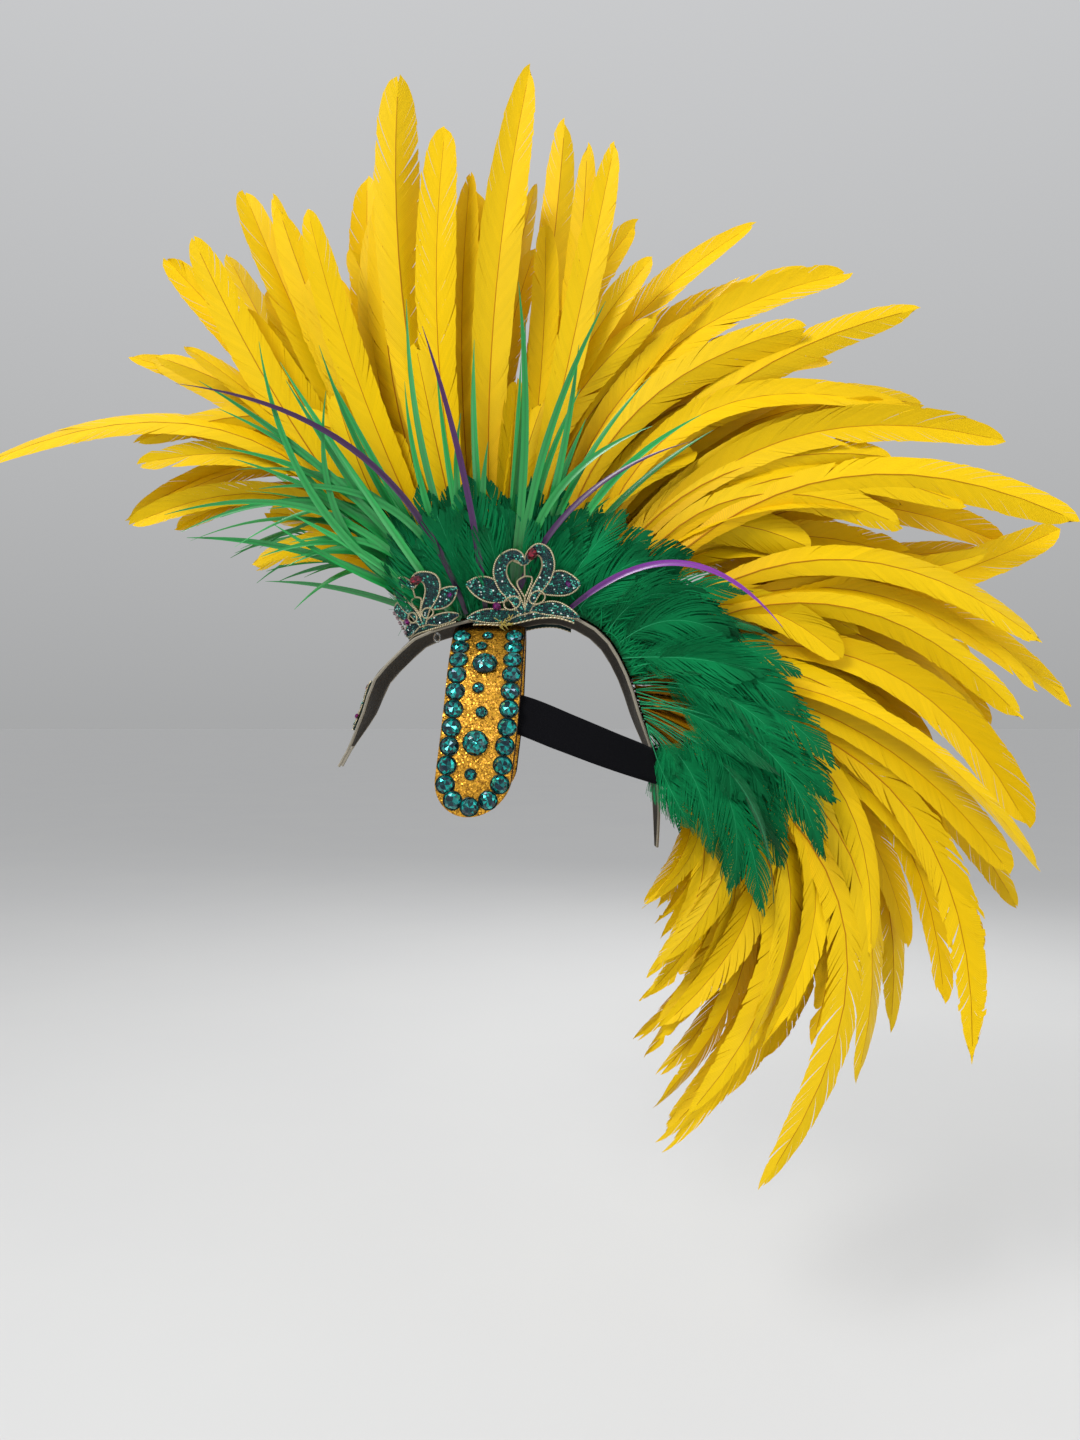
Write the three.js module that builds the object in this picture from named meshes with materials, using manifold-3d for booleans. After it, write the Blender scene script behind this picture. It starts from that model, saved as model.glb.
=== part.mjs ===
// A carnival headdress: a fore-and-aft crown band and an ear-to-ear cross band carry a fan of yellow tail
// feathers, green plumage with thin biots, beaded swan motifs and cut stones. A strap closes it at the back.
// Millimetres, +Z up. The wearer faces -X, the wearer's left side is -Y. The origin is the underside of the
// bands' crossing, where they sit on the crown of the head.

import * as THREE from 'three';
import { mergeVertices } from 'three/addons/utils/BufferGeometryUtils.js';
import Module from 'manifold-3d';

const wasm = await Module();
wasm.setup();

// Clearances
const SEAT_GAP = 0.3;
const STRAP_GAP = 0.95;

// Crown band: reach and drop of its two ends from the crossing
const BAND_WIDTH = 65;
const BAND_WALL = 2;
const BAND_CAMBER = 3;
const FRONT_REACH = 97;
const FRONT_DROP = 82;
const BACK_REACH = 109;
const BACK_DROP = 150;
const WIRE_DIAMETER = 2;
const WIRE_LOOSE_END = 16;

// Cross band
const CROSS_WIDTH = 47.5;
const CROSS_WALL = 2;
const CROSS_CAMBER = 3.6;
const CROSS_DROP = 124;
const CROSS_HALF_SPAN = 77;
const CROSS_SWEEP = 11;
const CROSS_AHEAD = 2.5;
const CROSS_TIGHTEST_BEND = 45;

// Stones on the cross band
const EDGE_SETTING_DIAMETER = 13.5;
const EDGE_STONE_HEIGHT = 3.4;
const EDGE_STONE_PITCH = 11.8;
const EDGE_STONE_INSET = 6.7;
const EDGE_ROW_TOP = 40;
const BIG_STONE_DIAMETER = 15;
const SMALL_STONE_DIAMETER = 6.6;
const BIG_STONE_HEIGHT = 4.6;
const SMALL_STONE_HEIGHT = 2.2;
const TABLE_SHARE = 0.58;
const STONE_SIDES = 8;
const BIG_STONE_SIDES = 10;

// Strap and slider
const STRAP_WIDTH = 25;
const STRAP_WALL = 1.8;
const STRAP_LEAN = THREE.MathUtils.degToRad(16);
const STRAP_FRONT_DROP = 58;
const STRAP_BACK_DROP = 99;
const SLIDER_HEIGHT = 31;
const SLIDER_LENGTH = 16;
const SLIDER_WALL = 2.4;
const SLIDER_BAR = 3;

// Beaded motifs
const MOTIF_WIDTH = 75;
const MOTIF_HEIGHT = 46;
const MOTIF_WALL = 1.8;
const MOTIF_LEAN = THREE.MathUtils.degToRad(15);
const FRONT_MOTIF_LEAN = THREE.MathUtils.degToRad(24);
const MOTIF_CENTRE = 20;
const MOTIF_BELOW = 1.5;
const FRONT_MOTIF_WIDTH = 48;
const FRONT_MOTIF_HEIGHT = 38;
const FOREHEAD_MOTIF_WIDTH = 34;
const FOREHEAD_MOTIF_HEIGHT = 34;
const FOREHEAD_MOTIF_FOOT = 12;
const RUBY_DIAMETER = 7;
const ACCENT_DIAMETER = 5;
const DROP_LENGTH = 7;
const DROP_WIDTH = 4;
const DROP_WIRE = 1;
const DROP_AHEAD = 37;
const DROP_INSET = 2;

// Feathers
const CREST_REACH = 350;
const CREST_FRONT_ROOT = 46;
const CREST_BACK_ROOT = 72;
const CREST_HALF_WIDTH = 19;
const CREST_LANE_PITCH = 3.4;
const CREST_LANES = 11;
const CREST_SPREAD = 2.8;
const BACKING_WALL = 3;
const BACKING_STEP = 7;
const BACKING_EDGE_INSET = 1;
const FEATHER_ROOT_HEIGHT = 1.2;
const BLADE_WIDTH = 27;
const BLADE_WALL = 1.5;
const PLUME_REACH = 220;
const PLUME_WIDTH = 26;
const PLUME_WALL = 1.2;
const PLUME_SPREAD = 3.3;
const PLUME_INNER_LANE = 21;
const PLUME_LANE_PITCH = 2.3;
const PLUME_LANES = 5;
const PLUME_BLEND = 10;
const BIOT_WIDTH = 4;
const BIOT_WALL = 0.9;
const PURPLE_LANE = 32.2;

const UP = new THREE.Vector3(0, 0, 1);
const HALF_BAND = BAND_WIDTH / 2;
const CROWN_EDGE_Z = CROSS_WALL + SEAT_GAP - BAND_CAMBER;

// The crown band's edge line, front tip to back tip: shares of reach, drop and full width.
const CROWN_SECTIONS = [
  { along: -1.0, drop: 1.0, width: 0.12 },
  { along: -0.93, drop: 0.85, width: 0.5 },
  { along: -0.86, drop: 0.69, width: 0.8 },
  { along: -0.79, drop: 0.47, width: 0.97 },
  { along: -0.66, drop: 0.3, width: 1.0 },
  { along: -0.5, drop: 0.13, width: 1.0 },
  { along: -0.37, drop: 0.075, width: 1.0 },
  { along: -0.13, drop: 0.0, width: 1.0 },
  { along: 0.08, drop: 0.0, width: 1.0 },
  { along: 0.29, drop: -0.03, width: 1.0 },
  { along: 0.42, drop: -0.025, width: 1.0 },
  { along: 0.64, drop: 0.06, width: 1.0 },
  { along: 0.78, drop: 0.22, width: 0.94 },
  { along: 0.88, drop: 0.43, width: 0.8 },
  { along: 0.94, drop: 0.54, width: 0.6 },
  { along: 0.985, drop: 0.68, width: 0.5 },
  { along: 1.0, drop: 0.84, width: 0.4 },
  { along: 1.0, drop: 1.0, width: 0.08 },
];

// One half of the cross band's underside, crossing to tip: shares of half span, drop and forward sweep.
const CROSS_SECTIONS = [
  { out: 0.0, drop: 0.0, ahead: 0.0 },
  { out: 0.22, drop: 0.02, ahead: 0.01 },
  { out: 0.43, drop: 0.07, ahead: 0.03 },
  { out: 0.62, drop: 0.16, ahead: 0.08 },
  { out: 0.78, drop: 0.275, ahead: 0.15 },
  { out: 0.9, drop: 0.42, ahead: 0.24 },
  { out: 0.97, drop: 0.58, ahead: 0.4 },
  { out: 1.0, drop: 0.75, ahead: 0.62 },
  { out: 0.995, drop: 0.88, ahead: 0.8 },
  { out: 0.98, drop: 1.0, ahead: 1.0 },
];

// Stones down the middle of one side of the cross band: share of the side's length, share of its half width.
const CENTRE_STONES = [
  { down: 0.25, across: 0.0, big: false },
  { down: 0.315, across: -0.14, big: false },
  { down: 0.41, across: 0.0, big: true },
  { down: 0.515, across: -0.12, big: false },
  { down: 0.61, across: 0.02, big: false },
  { down: 0.725, across: -0.05, big: true },
  { down: 0.84, across: -0.08, big: false },
];

// Half of the strap, from under the cross band to the centre of the back: shares of the back reach, of the
// cross band's half span and of the fall from the strap's front to its back.
const STRAP_SECTIONS = [
  { along: 0.03, out: 0.835, fall: 0.0 },
  { along: 0.18, out: 0.84, fall: 0.1 },
  { along: 0.42, out: 0.86, fall: 0.36 },
  { along: 0.68, out: 0.75, fall: 0.64 },
  { along: 0.9, out: 0.5, fall: 0.86 },
  { along: 1.0, out: 0.22, fall: 0.97 },
];

// Yellow feathers, brow to nape. root: share of the crest's base; x, z: tip as shares of the crest's reach;
// bow: bulge over chord, positive towards the front and upwards; width: share of the blade width.
const CREST_FEATHERS = [
  { root: 0.01, x: -0.93, z: 0.27, bow: -0.26, width: 0.72 },
  { root: 0.03, x: -0.68, z: 0.22, bow: -0.34, width: 0.72 },
  { root: 0.05, x: -0.78, z: 0.58, bow: -0.13, width: 0.85 },
  { root: 0.075, x: -0.63, z: 0.7, bow: -0.03, width: 0.9 },
  { root: 0.095, x: -0.56, z: 0.78, bow: 0.02, width: 1.0 },
  { root: 0.115, x: -0.47, z: 0.81, bow: 0.02, width: 0.85 },
  { root: 0.135, x: -0.46, z: 0.89, bow: 0.03, width: 0.9 },
  { root: 0.155, x: -0.4, z: 0.77, bow: 0.03, width: 1.0 },
  { root: 0.18, x: -0.26, z: 0.91, bow: 0.07, width: 1.0 },
  { root: 0.205, x: -0.17, z: 0.98, bow: 0.06, width: 1.15 },
  { root: 0.225, x: 0.04, z: 0.9, bow: 0.09, width: 1.0 },
  { root: 0.25, x: 0.07, z: 0.98, bow: 0.04, width: 1.0 },
  { root: 0.28, x: 0.136, z: 0.98, bow: -0.01, width: 0.85 },
  { root: 0.32, x: 0.29, z: 0.86, bow: 0.1, width: 0.9 },
  { root: 0.36, x: 0.495, z: 0.765, bow: 0.14, width: 0.95 },
  { root: 0.4, x: 0.645, z: 0.745, bow: 0.17, width: 1.0 },
  { root: 0.43, x: 0.665, z: 0.66, bow: 0.19, width: 0.9 },
  { root: 0.46, x: 0.63, z: 0.57, bow: 0.13, width: 0.95 },
  { root: 0.49, x: 0.79, z: 0.58, bow: 0.14, width: 0.85 },
  { root: 0.52, x: 0.855, z: 0.45, bow: 0.21, width: 1.05 },
  { root: 0.56, x: 0.945, z: 0.325, bow: 0.2, width: 0.9 },
  { root: 0.6, x: 0.93, z: 0.27, bow: 0.18, width: 1.0 },
  { root: 0.635, x: 1.06, z: 0.17, bow: 0.21, width: 0.9 },
  { root: 0.67, x: 1.105, z: 0.19, bow: -0.05, width: 0.9 },
  { root: 0.7, x: 1.06, z: 0.025, bow: 0.2, width: 0.95 },
  { root: 0.735, x: 1.11, z: -0.16, bow: 0.21, width: 0.85 },
  { root: 0.77, x: 1.03, z: -0.26, bow: 0.22, width: 1.0 },
  { root: 0.8, x: 1.01, z: -0.385, bow: 0.23, width: 1.0 },
  { root: 0.825, x: 1.06, z: -0.565, bow: 0.15, width: 0.85 },
  { root: 0.85, x: 0.89, z: -0.83, bow: 0.25, width: 0.9 },
  { root: 0.87, x: 0.79, z: -0.81, bow: 0.24, width: 0.95 },
  { root: 0.89, x: 0.67, z: -0.85, bow: 0.25, width: 1.0 },
  { root: 0.91, x: 0.53, z: -0.855, bow: 0.27, width: 0.9 },
  { root: 0.93, x: 0.49, z: -1.02, bow: 0.3, width: 0.85 },
  { root: 0.95, x: 0.33, z: -0.99, bow: 0.31, width: 0.85 },
  { root: 0.965, x: 0.35, z: -1.035, bow: 0.27, width: 0.8 },
  { root: 0.98, x: 0.31, z: -0.925, bow: 0.26, width: 0.75 },
  { root: 0.995, x: 0.276, z: -0.84, bow: 0.3, width: 0.6 },
];

// The five stretches of the crest, as shares of its base.
const CREST_STRETCHES = [
  { name: 'crest_brow', from: 0.0, to: 0.167 },
  { name: 'crest_front', from: 0.167, to: 0.3 },
  { name: 'crest_top', from: 0.3, to: 0.54 },
  { name: 'crest_back', from: 0.54, to: 0.81 },
  { name: 'crest_nape', from: 0.81, to: 1.0 },
];

// Green plumes of one side, front to back; x, z are shares of the plumage's reach.
const PLUMES = [
  { root: 0.1, x: -0.29, z: 0.24, bow: -0.02, width: 0.7 },
  { root: 0.12, x: -0.32, z: 0.31, bow: -0.04, width: 0.9 },
  { root: 0.14, x: -0.29, z: 0.36, bow: 0.0, width: 1.0 },
  { root: 0.17, x: -0.21, z: 0.39, bow: 0.0, width: 1.0 },
  { root: 0.23, x: -0.12, z: 0.42, bow: 0.0, width: 1.0 },
  { root: 0.29, x: -0.01, z: 0.41, bow: 0.0, width: 1.0 },
  { root: 0.35, x: 0.1, z: 0.4, bow: 0.04, width: 1.0 },
  { root: 0.41, x: 0.21, z: 0.385, bow: 0.06, width: 1.0 },
  { root: 0.47, x: 0.33, z: 0.34, bow: 0.08, width: 1.0 },
  { root: 0.53, x: 0.465, z: 0.25, bow: 0.1, width: 1.0 },
  { root: 0.58, x: 0.6, z: 0.2, bow: 0.12, width: 1.0 },
  { root: 0.64, x: 0.74, z: 0.08, bow: 0.14, width: 1.0 },
  { root: 0.69, x: 0.835, z: -0.05, bow: 0.15, width: 1.0 },
  { root: 0.74, x: 0.9, z: -0.17, bow: 0.15, width: 1.0 },
  { root: 0.78, x: 0.93, z: -0.29, bow: 0.15, width: 1.0 },
  { root: 0.82, x: 0.99, z: -0.43, bow: 0.14, width: 0.95 },
  { root: 0.86, x: 1.0, z: -0.54, bow: 0.14, width: 0.95 },
  { root: 0.89, x: 0.96, z: -0.7, bow: 0.15, width: 0.95 },
  { root: 0.92, x: 0.85, z: -0.73, bow: 0.14, width: 0.95 },
  { root: 0.95, x: 0.77, z: -0.85, bow: 0.15, width: 0.9 },
  { root: 0.975, x: 0.68, z: -0.76, bow: 0.14, width: 0.8 },
  { root: 0.995, x: 0.6, z: -0.54, bow: 0.12, width: 0.7 },
];

// The stretches of the green plumage.
const PLUME_STRETCHES = [
  { name: 'plumage_front', from: 0.08, to: 0.61 },
  { name: 'plumage_back', from: 0.61, to: 1.0 },
];

// Thin green biots of one side; tips as shares of the plumage's reach.
const GREEN_BIOTS = [
  { root: 0.1, x: -0.91, z: 0.28, bow: -0.2 },
  { root: 0.11, x: -0.88, z: 0.24, bow: -0.26 },
  { root: 0.12, x: -0.74, z: 0.45, bow: -0.1 },
  { root: 0.13, x: -0.8, z: 0.64, bow: -0.06 },
  { root: 0.145, x: -0.59, z: 0.71, bow: 0.02 },
  { root: 0.16, x: -0.5, z: 0.79, bow: 0.05 },
  { root: 0.2, x: -0.24, z: 0.9, bow: 0.06 },
  { root: 0.25, x: -0.05, z: 0.8, bow: 0.03 },
  { root: 0.29, x: 0.08, z: 0.91, bow: -0.04 },
  { root: 0.33, x: 0.32, z: 0.86, bow: 0.06 },
  { root: 0.38, x: 0.45, z: 0.67, bow: 0.08 },
  { root: 0.43, x: 0.6, z: 0.58, bow: 0.12 },
];

// Purple biots of one side; each stands beside the green backing on its own.
const PURPLE_BIOTS = [
  { root: 0.16, x: -0.85, z: 0.62, bow: -0.17 },
  { root: 0.22, x: -0.185, z: 0.79, bow: -0.03 },
  { root: 0.31, x: 0.565, z: 0.49, bow: 0.14 },
  { root: 0.5, x: 0.83, z: -0.03, bow: 0.26 },
];

// Sections of a tail feather and of a plume: share of the length, share of the width.
const BLADE_SECTIONS = [
  { at: 0.0, width: 0.1 },
  { at: 0.18, width: 0.34 },
  { at: 0.45, width: 0.9 },
  { at: 0.72, width: 1.0 },
  { at: 0.92, width: 0.7 },
  { at: 1.0, width: 0.16 },
];
const PLUME_SECTIONS = [
  { at: 0.0, width: 0.12 },
  { at: 0.34, width: 0.85 },
  { at: 0.74, width: 0.9 },
  { at: 1.0, width: 0.14 },
];
const BIOT_SECTIONS = [
  { at: 0.0, width: 0.1 },
  { at: 0.5, width: 1.0 },
  { at: 1.0, width: 0.2 },
];

// Finishes
const felt = () => new THREE.MeshStandardMaterial({ color: 0x3d342b, roughness: 0.9, metalness: 0 });
const wireCloth = () => new THREE.MeshStandardMaterial({ color: 0xa39a8b, roughness: 0.6, metalness: 0.2 });
const gold = () => new THREE.MeshStandardMaterial({ color: 0xc98a17, roughness: 0.35, metalness: 0.7 });
const tealStone = () => new THREE.MeshStandardMaterial({ color: 0x0b6f70, roughness: 0.08, metalness: 0 });
const velvet = () => new THREE.MeshStandardMaterial({ color: 0x09090b, roughness: 0.95, metalness: 0 });
const blackPlastic = () => new THREE.MeshStandardMaterial({ color: 0x050505, roughness: 0.2, metalness: 0 });
const beadwork = () => new THREE.MeshStandardMaterial({ color: 0x14524c, roughness: 0.3, metalness: 0.3 });
const clearDrop = () => new THREE.MeshStandardMaterial({ color: 0xd8d8d0, roughness: 0.1, metalness: 0 });
const yellowFeather = () => new THREE.MeshStandardMaterial({ color: 0xf2b705, roughness: 0.7, metalness: 0 });
const greenFeather = () => new THREE.MeshStandardMaterial({ color: 0x047a3c, roughness: 0.8, metalness: 0 });
const purpleFeather = () => new THREE.MeshStandardMaterial({ color: 0x4b1270, roughness: 0.5, metalness: 0 });

// Merges a geometry's shared vertices and turns its faces outwards.
function closed(geometry) {
  geometry.deleteAttribute('normal');
  geometry.deleteAttribute('uv');
  const merged = mergeVertices(geometry);
  const place = merged.attributes.position;
  const index = merged.index;
  const [a, b, c] = [new THREE.Vector3(), new THREE.Vector3(), new THREE.Vector3()];
  let volume = 0;
  for (let i = 0; i < index.count; i += 3) {
    a.fromBufferAttribute(place, index.getX(i));
    b.fromBufferAttribute(place, index.getX(i + 1));
    c.fromBufferAttribute(place, index.getX(i + 2));
    volume += a.dot(b.cross(c));
  }
  if (volume < 0) {
    for (let i = 0; i < index.count; i += 3) {
      const first = index.getX(i);
      index.setX(i, index.getX(i + 2));
      index.setX(i + 2, first);
    }
  }
  return merged;
}

// Moves every vertex of a geometry to where place(x, y, z) says.
function warp(geometry, place) {
  const at = geometry.attributes.position;
  for (let i = 0; i < at.count; i += 1) {
    const p = place(at.getX(i), at.getY(i), at.getZ(i));
    at.setXYZ(i, p.x, p.y, p.z);
  }
  return geometry;
}

// A wall: u runs 0 to 1 along it, v runs -1 to 1 across it, w runs 0 to 1 through its thickness.
function wall(lengthSteps, widthSteps, place) {
  const block = new THREE.BoxGeometry(1, 1, 1, lengthSteps, widthSteps, 1);
  return closed(warp(block, (x, y, z) => place(x + 0.5, 2 * y, z + 0.5)));
}

function solid(geometry) {
  const vertProperties = new Float32Array(geometry.attributes.position.array);
  const triVerts = new Uint32Array(geometry.index.array);
  return new wasm.Manifold(new wasm.Mesh({ numProp: 3, vertProperties, triVerts }));
}

function surface(body) {
  const { vertProperties, triVerts } = body.getMesh();
  const geometry = new THREE.BufferGeometry();
  geometry.setAttribute('position', new THREE.BufferAttribute(new Float32Array(vertProperties), 3));
  geometry.setIndex(new THREE.BufferAttribute(new Uint32Array(triVerts), 1));
  return geometry;
}

function joined(geometries) {
  return surface(geometries.map(solid).reduce((whole, part) => whole.add(part)));
}

function carved(geometry, tools) {
  return surface(tools.map(solid).reduce((left, tool) => left.subtract(tool), solid(geometry)));
}

const headdress = new THREE.Group();

function piece(name, geometry, material) {
  const mesh = new THREE.Mesh(geometry, material);
  mesh.name = name;
  headdress.add(mesh);
}

function mirrored(geometry) {
  return closed(warp(geometry.clone(), (x, y, z) => new THREE.Vector3(x, -y, z)));
}

// Adds a left piece and its mirror image on the right.
function pair(name, geometry, material, suffix = '') {
  piece(`${name}_left${suffix}`, geometry, material());
  piece(`${name}_right${suffix}`, mirrored(geometry), material());
}

// The crown band's line, carrying the width share in y.
const crownLine = new THREE.CatmullRomCurve3(CROWN_SECTIONS.map(({ along, drop, width }) => {
  const reach = along < 0 ? FRONT_REACH : BACK_REACH;
  const fall = along < 0 ? FRONT_DROP : BACK_DROP;
  return new THREE.Vector3(along * reach, width, CROWN_EDGE_Z - drop * fall);
}), false, 'centripetal');
const CROWN_SAMPLES = 400;
const SLOPE_SAMPLES = 4;
const crownPoints = crownLine.getPoints(CROWN_SAMPLES);
const crownLength = crownPoints.slice(1).reduce((sum, p, i) => sum + planDistance(p, crownPoints[i]), 0);

// Distance between two points seen from the side.
function planDistance(p, q) {
  return Math.hypot(p.x - q.x, p.z - q.z);
}

// The band's line at a share of its length: place, width share, tangent and outward normal.
function crownAt(share) {
  let left = THREE.MathUtils.clamp(share, 0, 1) * crownLength;
  let i = 1;
  while (i < CROWN_SAMPLES && left > planDistance(crownPoints[i], crownPoints[i - 1])) {
    left -= planDistance(crownPoints[i], crownPoints[i - 1]);
    i += 1;
  }
  const step = planDistance(crownPoints[i], crownPoints[i - 1]);
  const point = crownPoints[i - 1].clone().lerp(crownPoints[i], left / step);
  const before = crownPoints[Math.max(i - SLOPE_SAMPLES, 0)];
  const after = crownPoints[Math.min(i + SLOPE_SAMPLES - 1, CROWN_SAMPLES)];
  const tangent = new THREE.Vector3(after.x - before.x, 0, after.z - before.z).normalize();
  const normal = new THREE.Vector3(-tangent.z, 0, tangent.x);
  return { x: point.x, z: point.z, half: point.y * HALF_BAND, tangent, normal };
}

// A point of the crown band: share of its length, sideways place, height over its underside.
function crownPoint(share, y, lift) {
  const { x, z, half, normal } = crownAt(share);
  const v = THREE.MathUtils.clamp(y / half, -1, 1);
  const rise = lift + BAND_CAMBER * (half / HALF_BAND) * (1 - v * v);
  return new THREE.Vector3(x + normal.x * rise, y, z + normal.z * rise);
}

// The share of the band's length at which test(point) first holds.
function crownShare(test) {
  let covered = 0;
  for (let i = 1; i < crownPoints.length; i += 1) {
    covered += planDistance(crownPoints[i], crownPoints[i - 1]);
    if (test(crownPoints[i])) return covered / crownLength;
  }
  return 1;
}

const crestStart = crownShare((p) => p.x > -CREST_FRONT_ROOT);
const crestEnd = crownShare((p) => p.x > 0 && p.z < CROWN_EDGE_Z - CREST_BACK_ROOT);
const crestShare = (root) => THREE.MathUtils.lerp(crestStart, crestEnd, root);
const CREST_BASE_SAMPLES = 48;
const crestBase = Array.from({ length: CREST_BASE_SAMPLES + 1 }, (_, i) => {
  return crownPoint(crestShare(i / CREST_BASE_SAMPLES), 0, BAND_WALL + SEAT_GAP);
});

// Feathers lie in lanes, one beside the other, that spread apart with the distance from the crest's base.
function lanePlace(lane, x, z) {
  const away = Math.min(...crestBase.map((p) => Math.hypot(p.x - x, p.z - z)));
  const outer = THREE.MathUtils.smoothstep(Math.abs(lane), CREST_HALF_WIDTH, CREST_HALF_WIDTH + PLUME_BLEND);
  const spread = THREE.MathUtils.lerp(CREST_SPREAD, PLUME_SPREAD, outer);
  return lane * (1 + (spread * away) / CREST_REACH);
}

// A feather: a ridged blade of four-sided sections along a bowed line from its root in the backing.
function feather({ root, x, z, bow, width }, lane, look) {
  const from = crownPoint(crestShare(root), lane, BAND_WALL + SEAT_GAP + look.inset);
  const start = new THREE.Vector2(from.x, from.z);
  const tip = new THREE.Vector2(x * look.reach, z * look.reach);
  const chord = tip.clone().sub(start);
  const aside = new THREE.Vector2(-chord.y, chord.x).multiplyScalar(2 * bow);
  const middle = start.clone().lerp(tip, 0.5).add(aside);
  const line = new THREE.QuadraticBezierCurve(start, middle, tip);
  const steps = look.sections.length - 1;
  const sides = new THREE.CylinderGeometry(1, 1, 1, look.sides, steps);
  return closed(warp(sides, (across, along, through) => {
    const section = look.sections[Math.round((along + 0.5) * steps)];
    const p = line.getPoint(section.at);
    const t = line.getTangent(section.at);
    const reach = (across * section.width * width * look.width) / 2;
    const [px, pz] = [p.x - t.y * reach, p.y + t.x * reach];
    const y = lanePlace(lane, px, pz) + (through * look.wall) / 2;
    return new THREE.Vector3(px, y, pz);
  }));
}

const BLADE = {
  reach: CREST_REACH,
  sections: BLADE_SECTIONS,
  width: BLADE_WIDTH,
  wall: BLADE_WALL,
  inset: FEATHER_ROOT_HEIGHT,
  sides: 4,
};
const PLUME = { ...BLADE, reach: PLUME_REACH, sections: PLUME_SECTIONS, width: PLUME_WIDTH, wall: PLUME_WALL };
const BIOT = { ...PLUME, sections: BIOT_SECTIONS, width: BIOT_WIDTH, wall: BIOT_WALL, sides: 3 };
const LONE_BIOT = { ...BIOT, inset: BACKING_WALL + SEAT_GAP + (BIOT_SECTIONS[0].width * BIOT_WIDTH) / 2 };

// A strip of backing on the crown band between two shares of the crest's base and two sideways places.
function backing(from, to, inner, outer) {
  const length = (crestShare(to) - crestShare(from)) * crownLength;
  const trim = SEAT_GAP / 2 / length;
  const steps = Math.max(3, Math.round(length / BACKING_STEP));
  return wall(steps, 2, (u, v, w) => {
    const along = THREE.MathUtils.lerp(trim, 1 - trim, u);
    const share = THREE.MathUtils.lerp(crestShare(from), crestShare(to), along);
    const y = THREE.MathUtils.lerp(inner, outer, (v + 1) / 2);
    return crownPoint(share, y, BAND_WALL + SEAT_GAP + BACKING_WALL * w);
  });
}

// Spreads neighbouring feathers over the lanes, so that each lane holds only distant ones.
const LANE_STRIDE = 5;
const crestLane = (i) => (((i * LANE_STRIDE) % CREST_LANES) - (CREST_LANES - 1) / 2) * CREST_LANE_PITCH;
const plumeLane = (i) => -(PLUME_INNER_LANE + ((i * 3) % PLUME_LANES) * PLUME_LANE_PITCH);

// Between two listed feathers stands a shorter one.
const FILL_REACH = 0.9;
const crestFeathers = CREST_FEATHERS.flatMap((row, i) => {
  const next = CREST_FEATHERS[i + 1];
  if (!next || i % 3 !== 2) return [row];
  const mean = (key) => (row[key] + next[key]) / 2;
  const [x, z] = [mean('x') * FILL_REACH, mean('z') * FILL_REACH];
  return [row, { root: mean('root'), x, z, bow: mean('bow'), width: 1 }];
});

function crest() {
  const placed = crestFeathers.map((row, i) => ({ row, lane: crestLane(i) }));
  for (const { name, from, to } of CREST_STRETCHES) {
    const blades = placed
      .filter(({ row }) => row.root >= from && row.root < to)
      .map(({ row, lane }) => feather(row, lane, BLADE));
    const base = backing(from, to, -CREST_HALF_WIDTH, CREST_HALF_WIDTH);
    piece(name, joined([base, ...blades]), yellowFeather());
  }
}

function plumage() {
  const inner = -(CREST_HALF_WIDTH + SEAT_GAP);
  const outer = -(HALF_BAND - BACKING_EDGE_INSET);
  const plumes = PLUMES.map((row, i) => ({ row, shape: feather(row, plumeLane(i), PLUME) }));
  const biots = GREEN_BIOTS.map((row, i) => {
    const lane = plumeLane(i + 2) + PLUME_LANE_PITCH / 2;
    return { row, shape: feather({ ...row, width: 1 }, lane, BIOT) };
  });
  for (const { name, from, to } of PLUME_STRETCHES) {
    const shapes = [...plumes, ...biots]
      .filter(({ row }) => row.root >= from && row.root < to)
      .map(({ shape }) => shape);
    pair(name, joined([backing(from, to, inner, outer), ...shapes]), greenFeather);
  }
  PURPLE_BIOTS.forEach((row, i) => {
    pair('purple_biot', feather({ ...row, width: 1 }, -PURPLE_LANE, LONE_BIOT), purpleFeather, `_${i + 1}`);
  });
}

function crownBand() {
  piece('crown_band', wall(44, 2, (u, v, w) => {
    return crownPoint(u, v * crownAt(u).half, BAND_WALL * w);
  }), felt());
}

// A tube along a curve.
function tube(curve, radius, sides, steps) {
  const ring = new THREE.Shape(Array.from({ length: sides }, (_, i) => {
    const angle = (2 * Math.PI * i) / sides;
    return new THREE.Vector2(radius * Math.cos(angle), radius * Math.sin(angle));
  }));
  return closed(new THREE.ExtrudeGeometry(ring, { steps, extrudePath: curve }));
}

function crownWires() {
  const radius = WIRE_DIAMETER / 2;
  const stations = 36;
  const edge = Array.from({ length: stations + 1 }, (_, i) => {
    const share = i / stations;
    const step = 0.5 / stations;
    const taper = (crownAt(share + step).half - crownAt(share - step).half) / (2 * step * crownLength);
    const aside = (3 * SEAT_GAP + radius) * Math.hypot(1, taper);
    return crownPoint(share, -(crownAt(share).half + aside), BAND_WALL / 2);
  });
  const { tangent } = crownAt(0);
  const loose = edge[0].clone().addScaledVector(tangent, -WIRE_LOOSE_END);
  const curve = new THREE.CatmullRomCurve3([loose, ...edge]);
  pair('crown_wire', tube(curve, radius, 5, 32), wireCloth);
}

const crossHalf = CROSS_SECTIONS.map(({ out, drop, ahead }) => {
  return new THREE.Vector3(-CROSS_AHEAD - ahead * CROSS_SWEEP, -out * CROSS_HALF_SPAN, -drop * CROSS_DROP);
});
const crossLine = new THREE.CatmullRomCurve3([
  ...crossHalf.slice(1).reverse(),
  ...crossHalf.map((p) => new THREE.Vector3(p.x, -p.y, p.z)),
]);
const crossLength = crossLine.getLength();
const sideLength = crossLength / 2;

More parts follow.
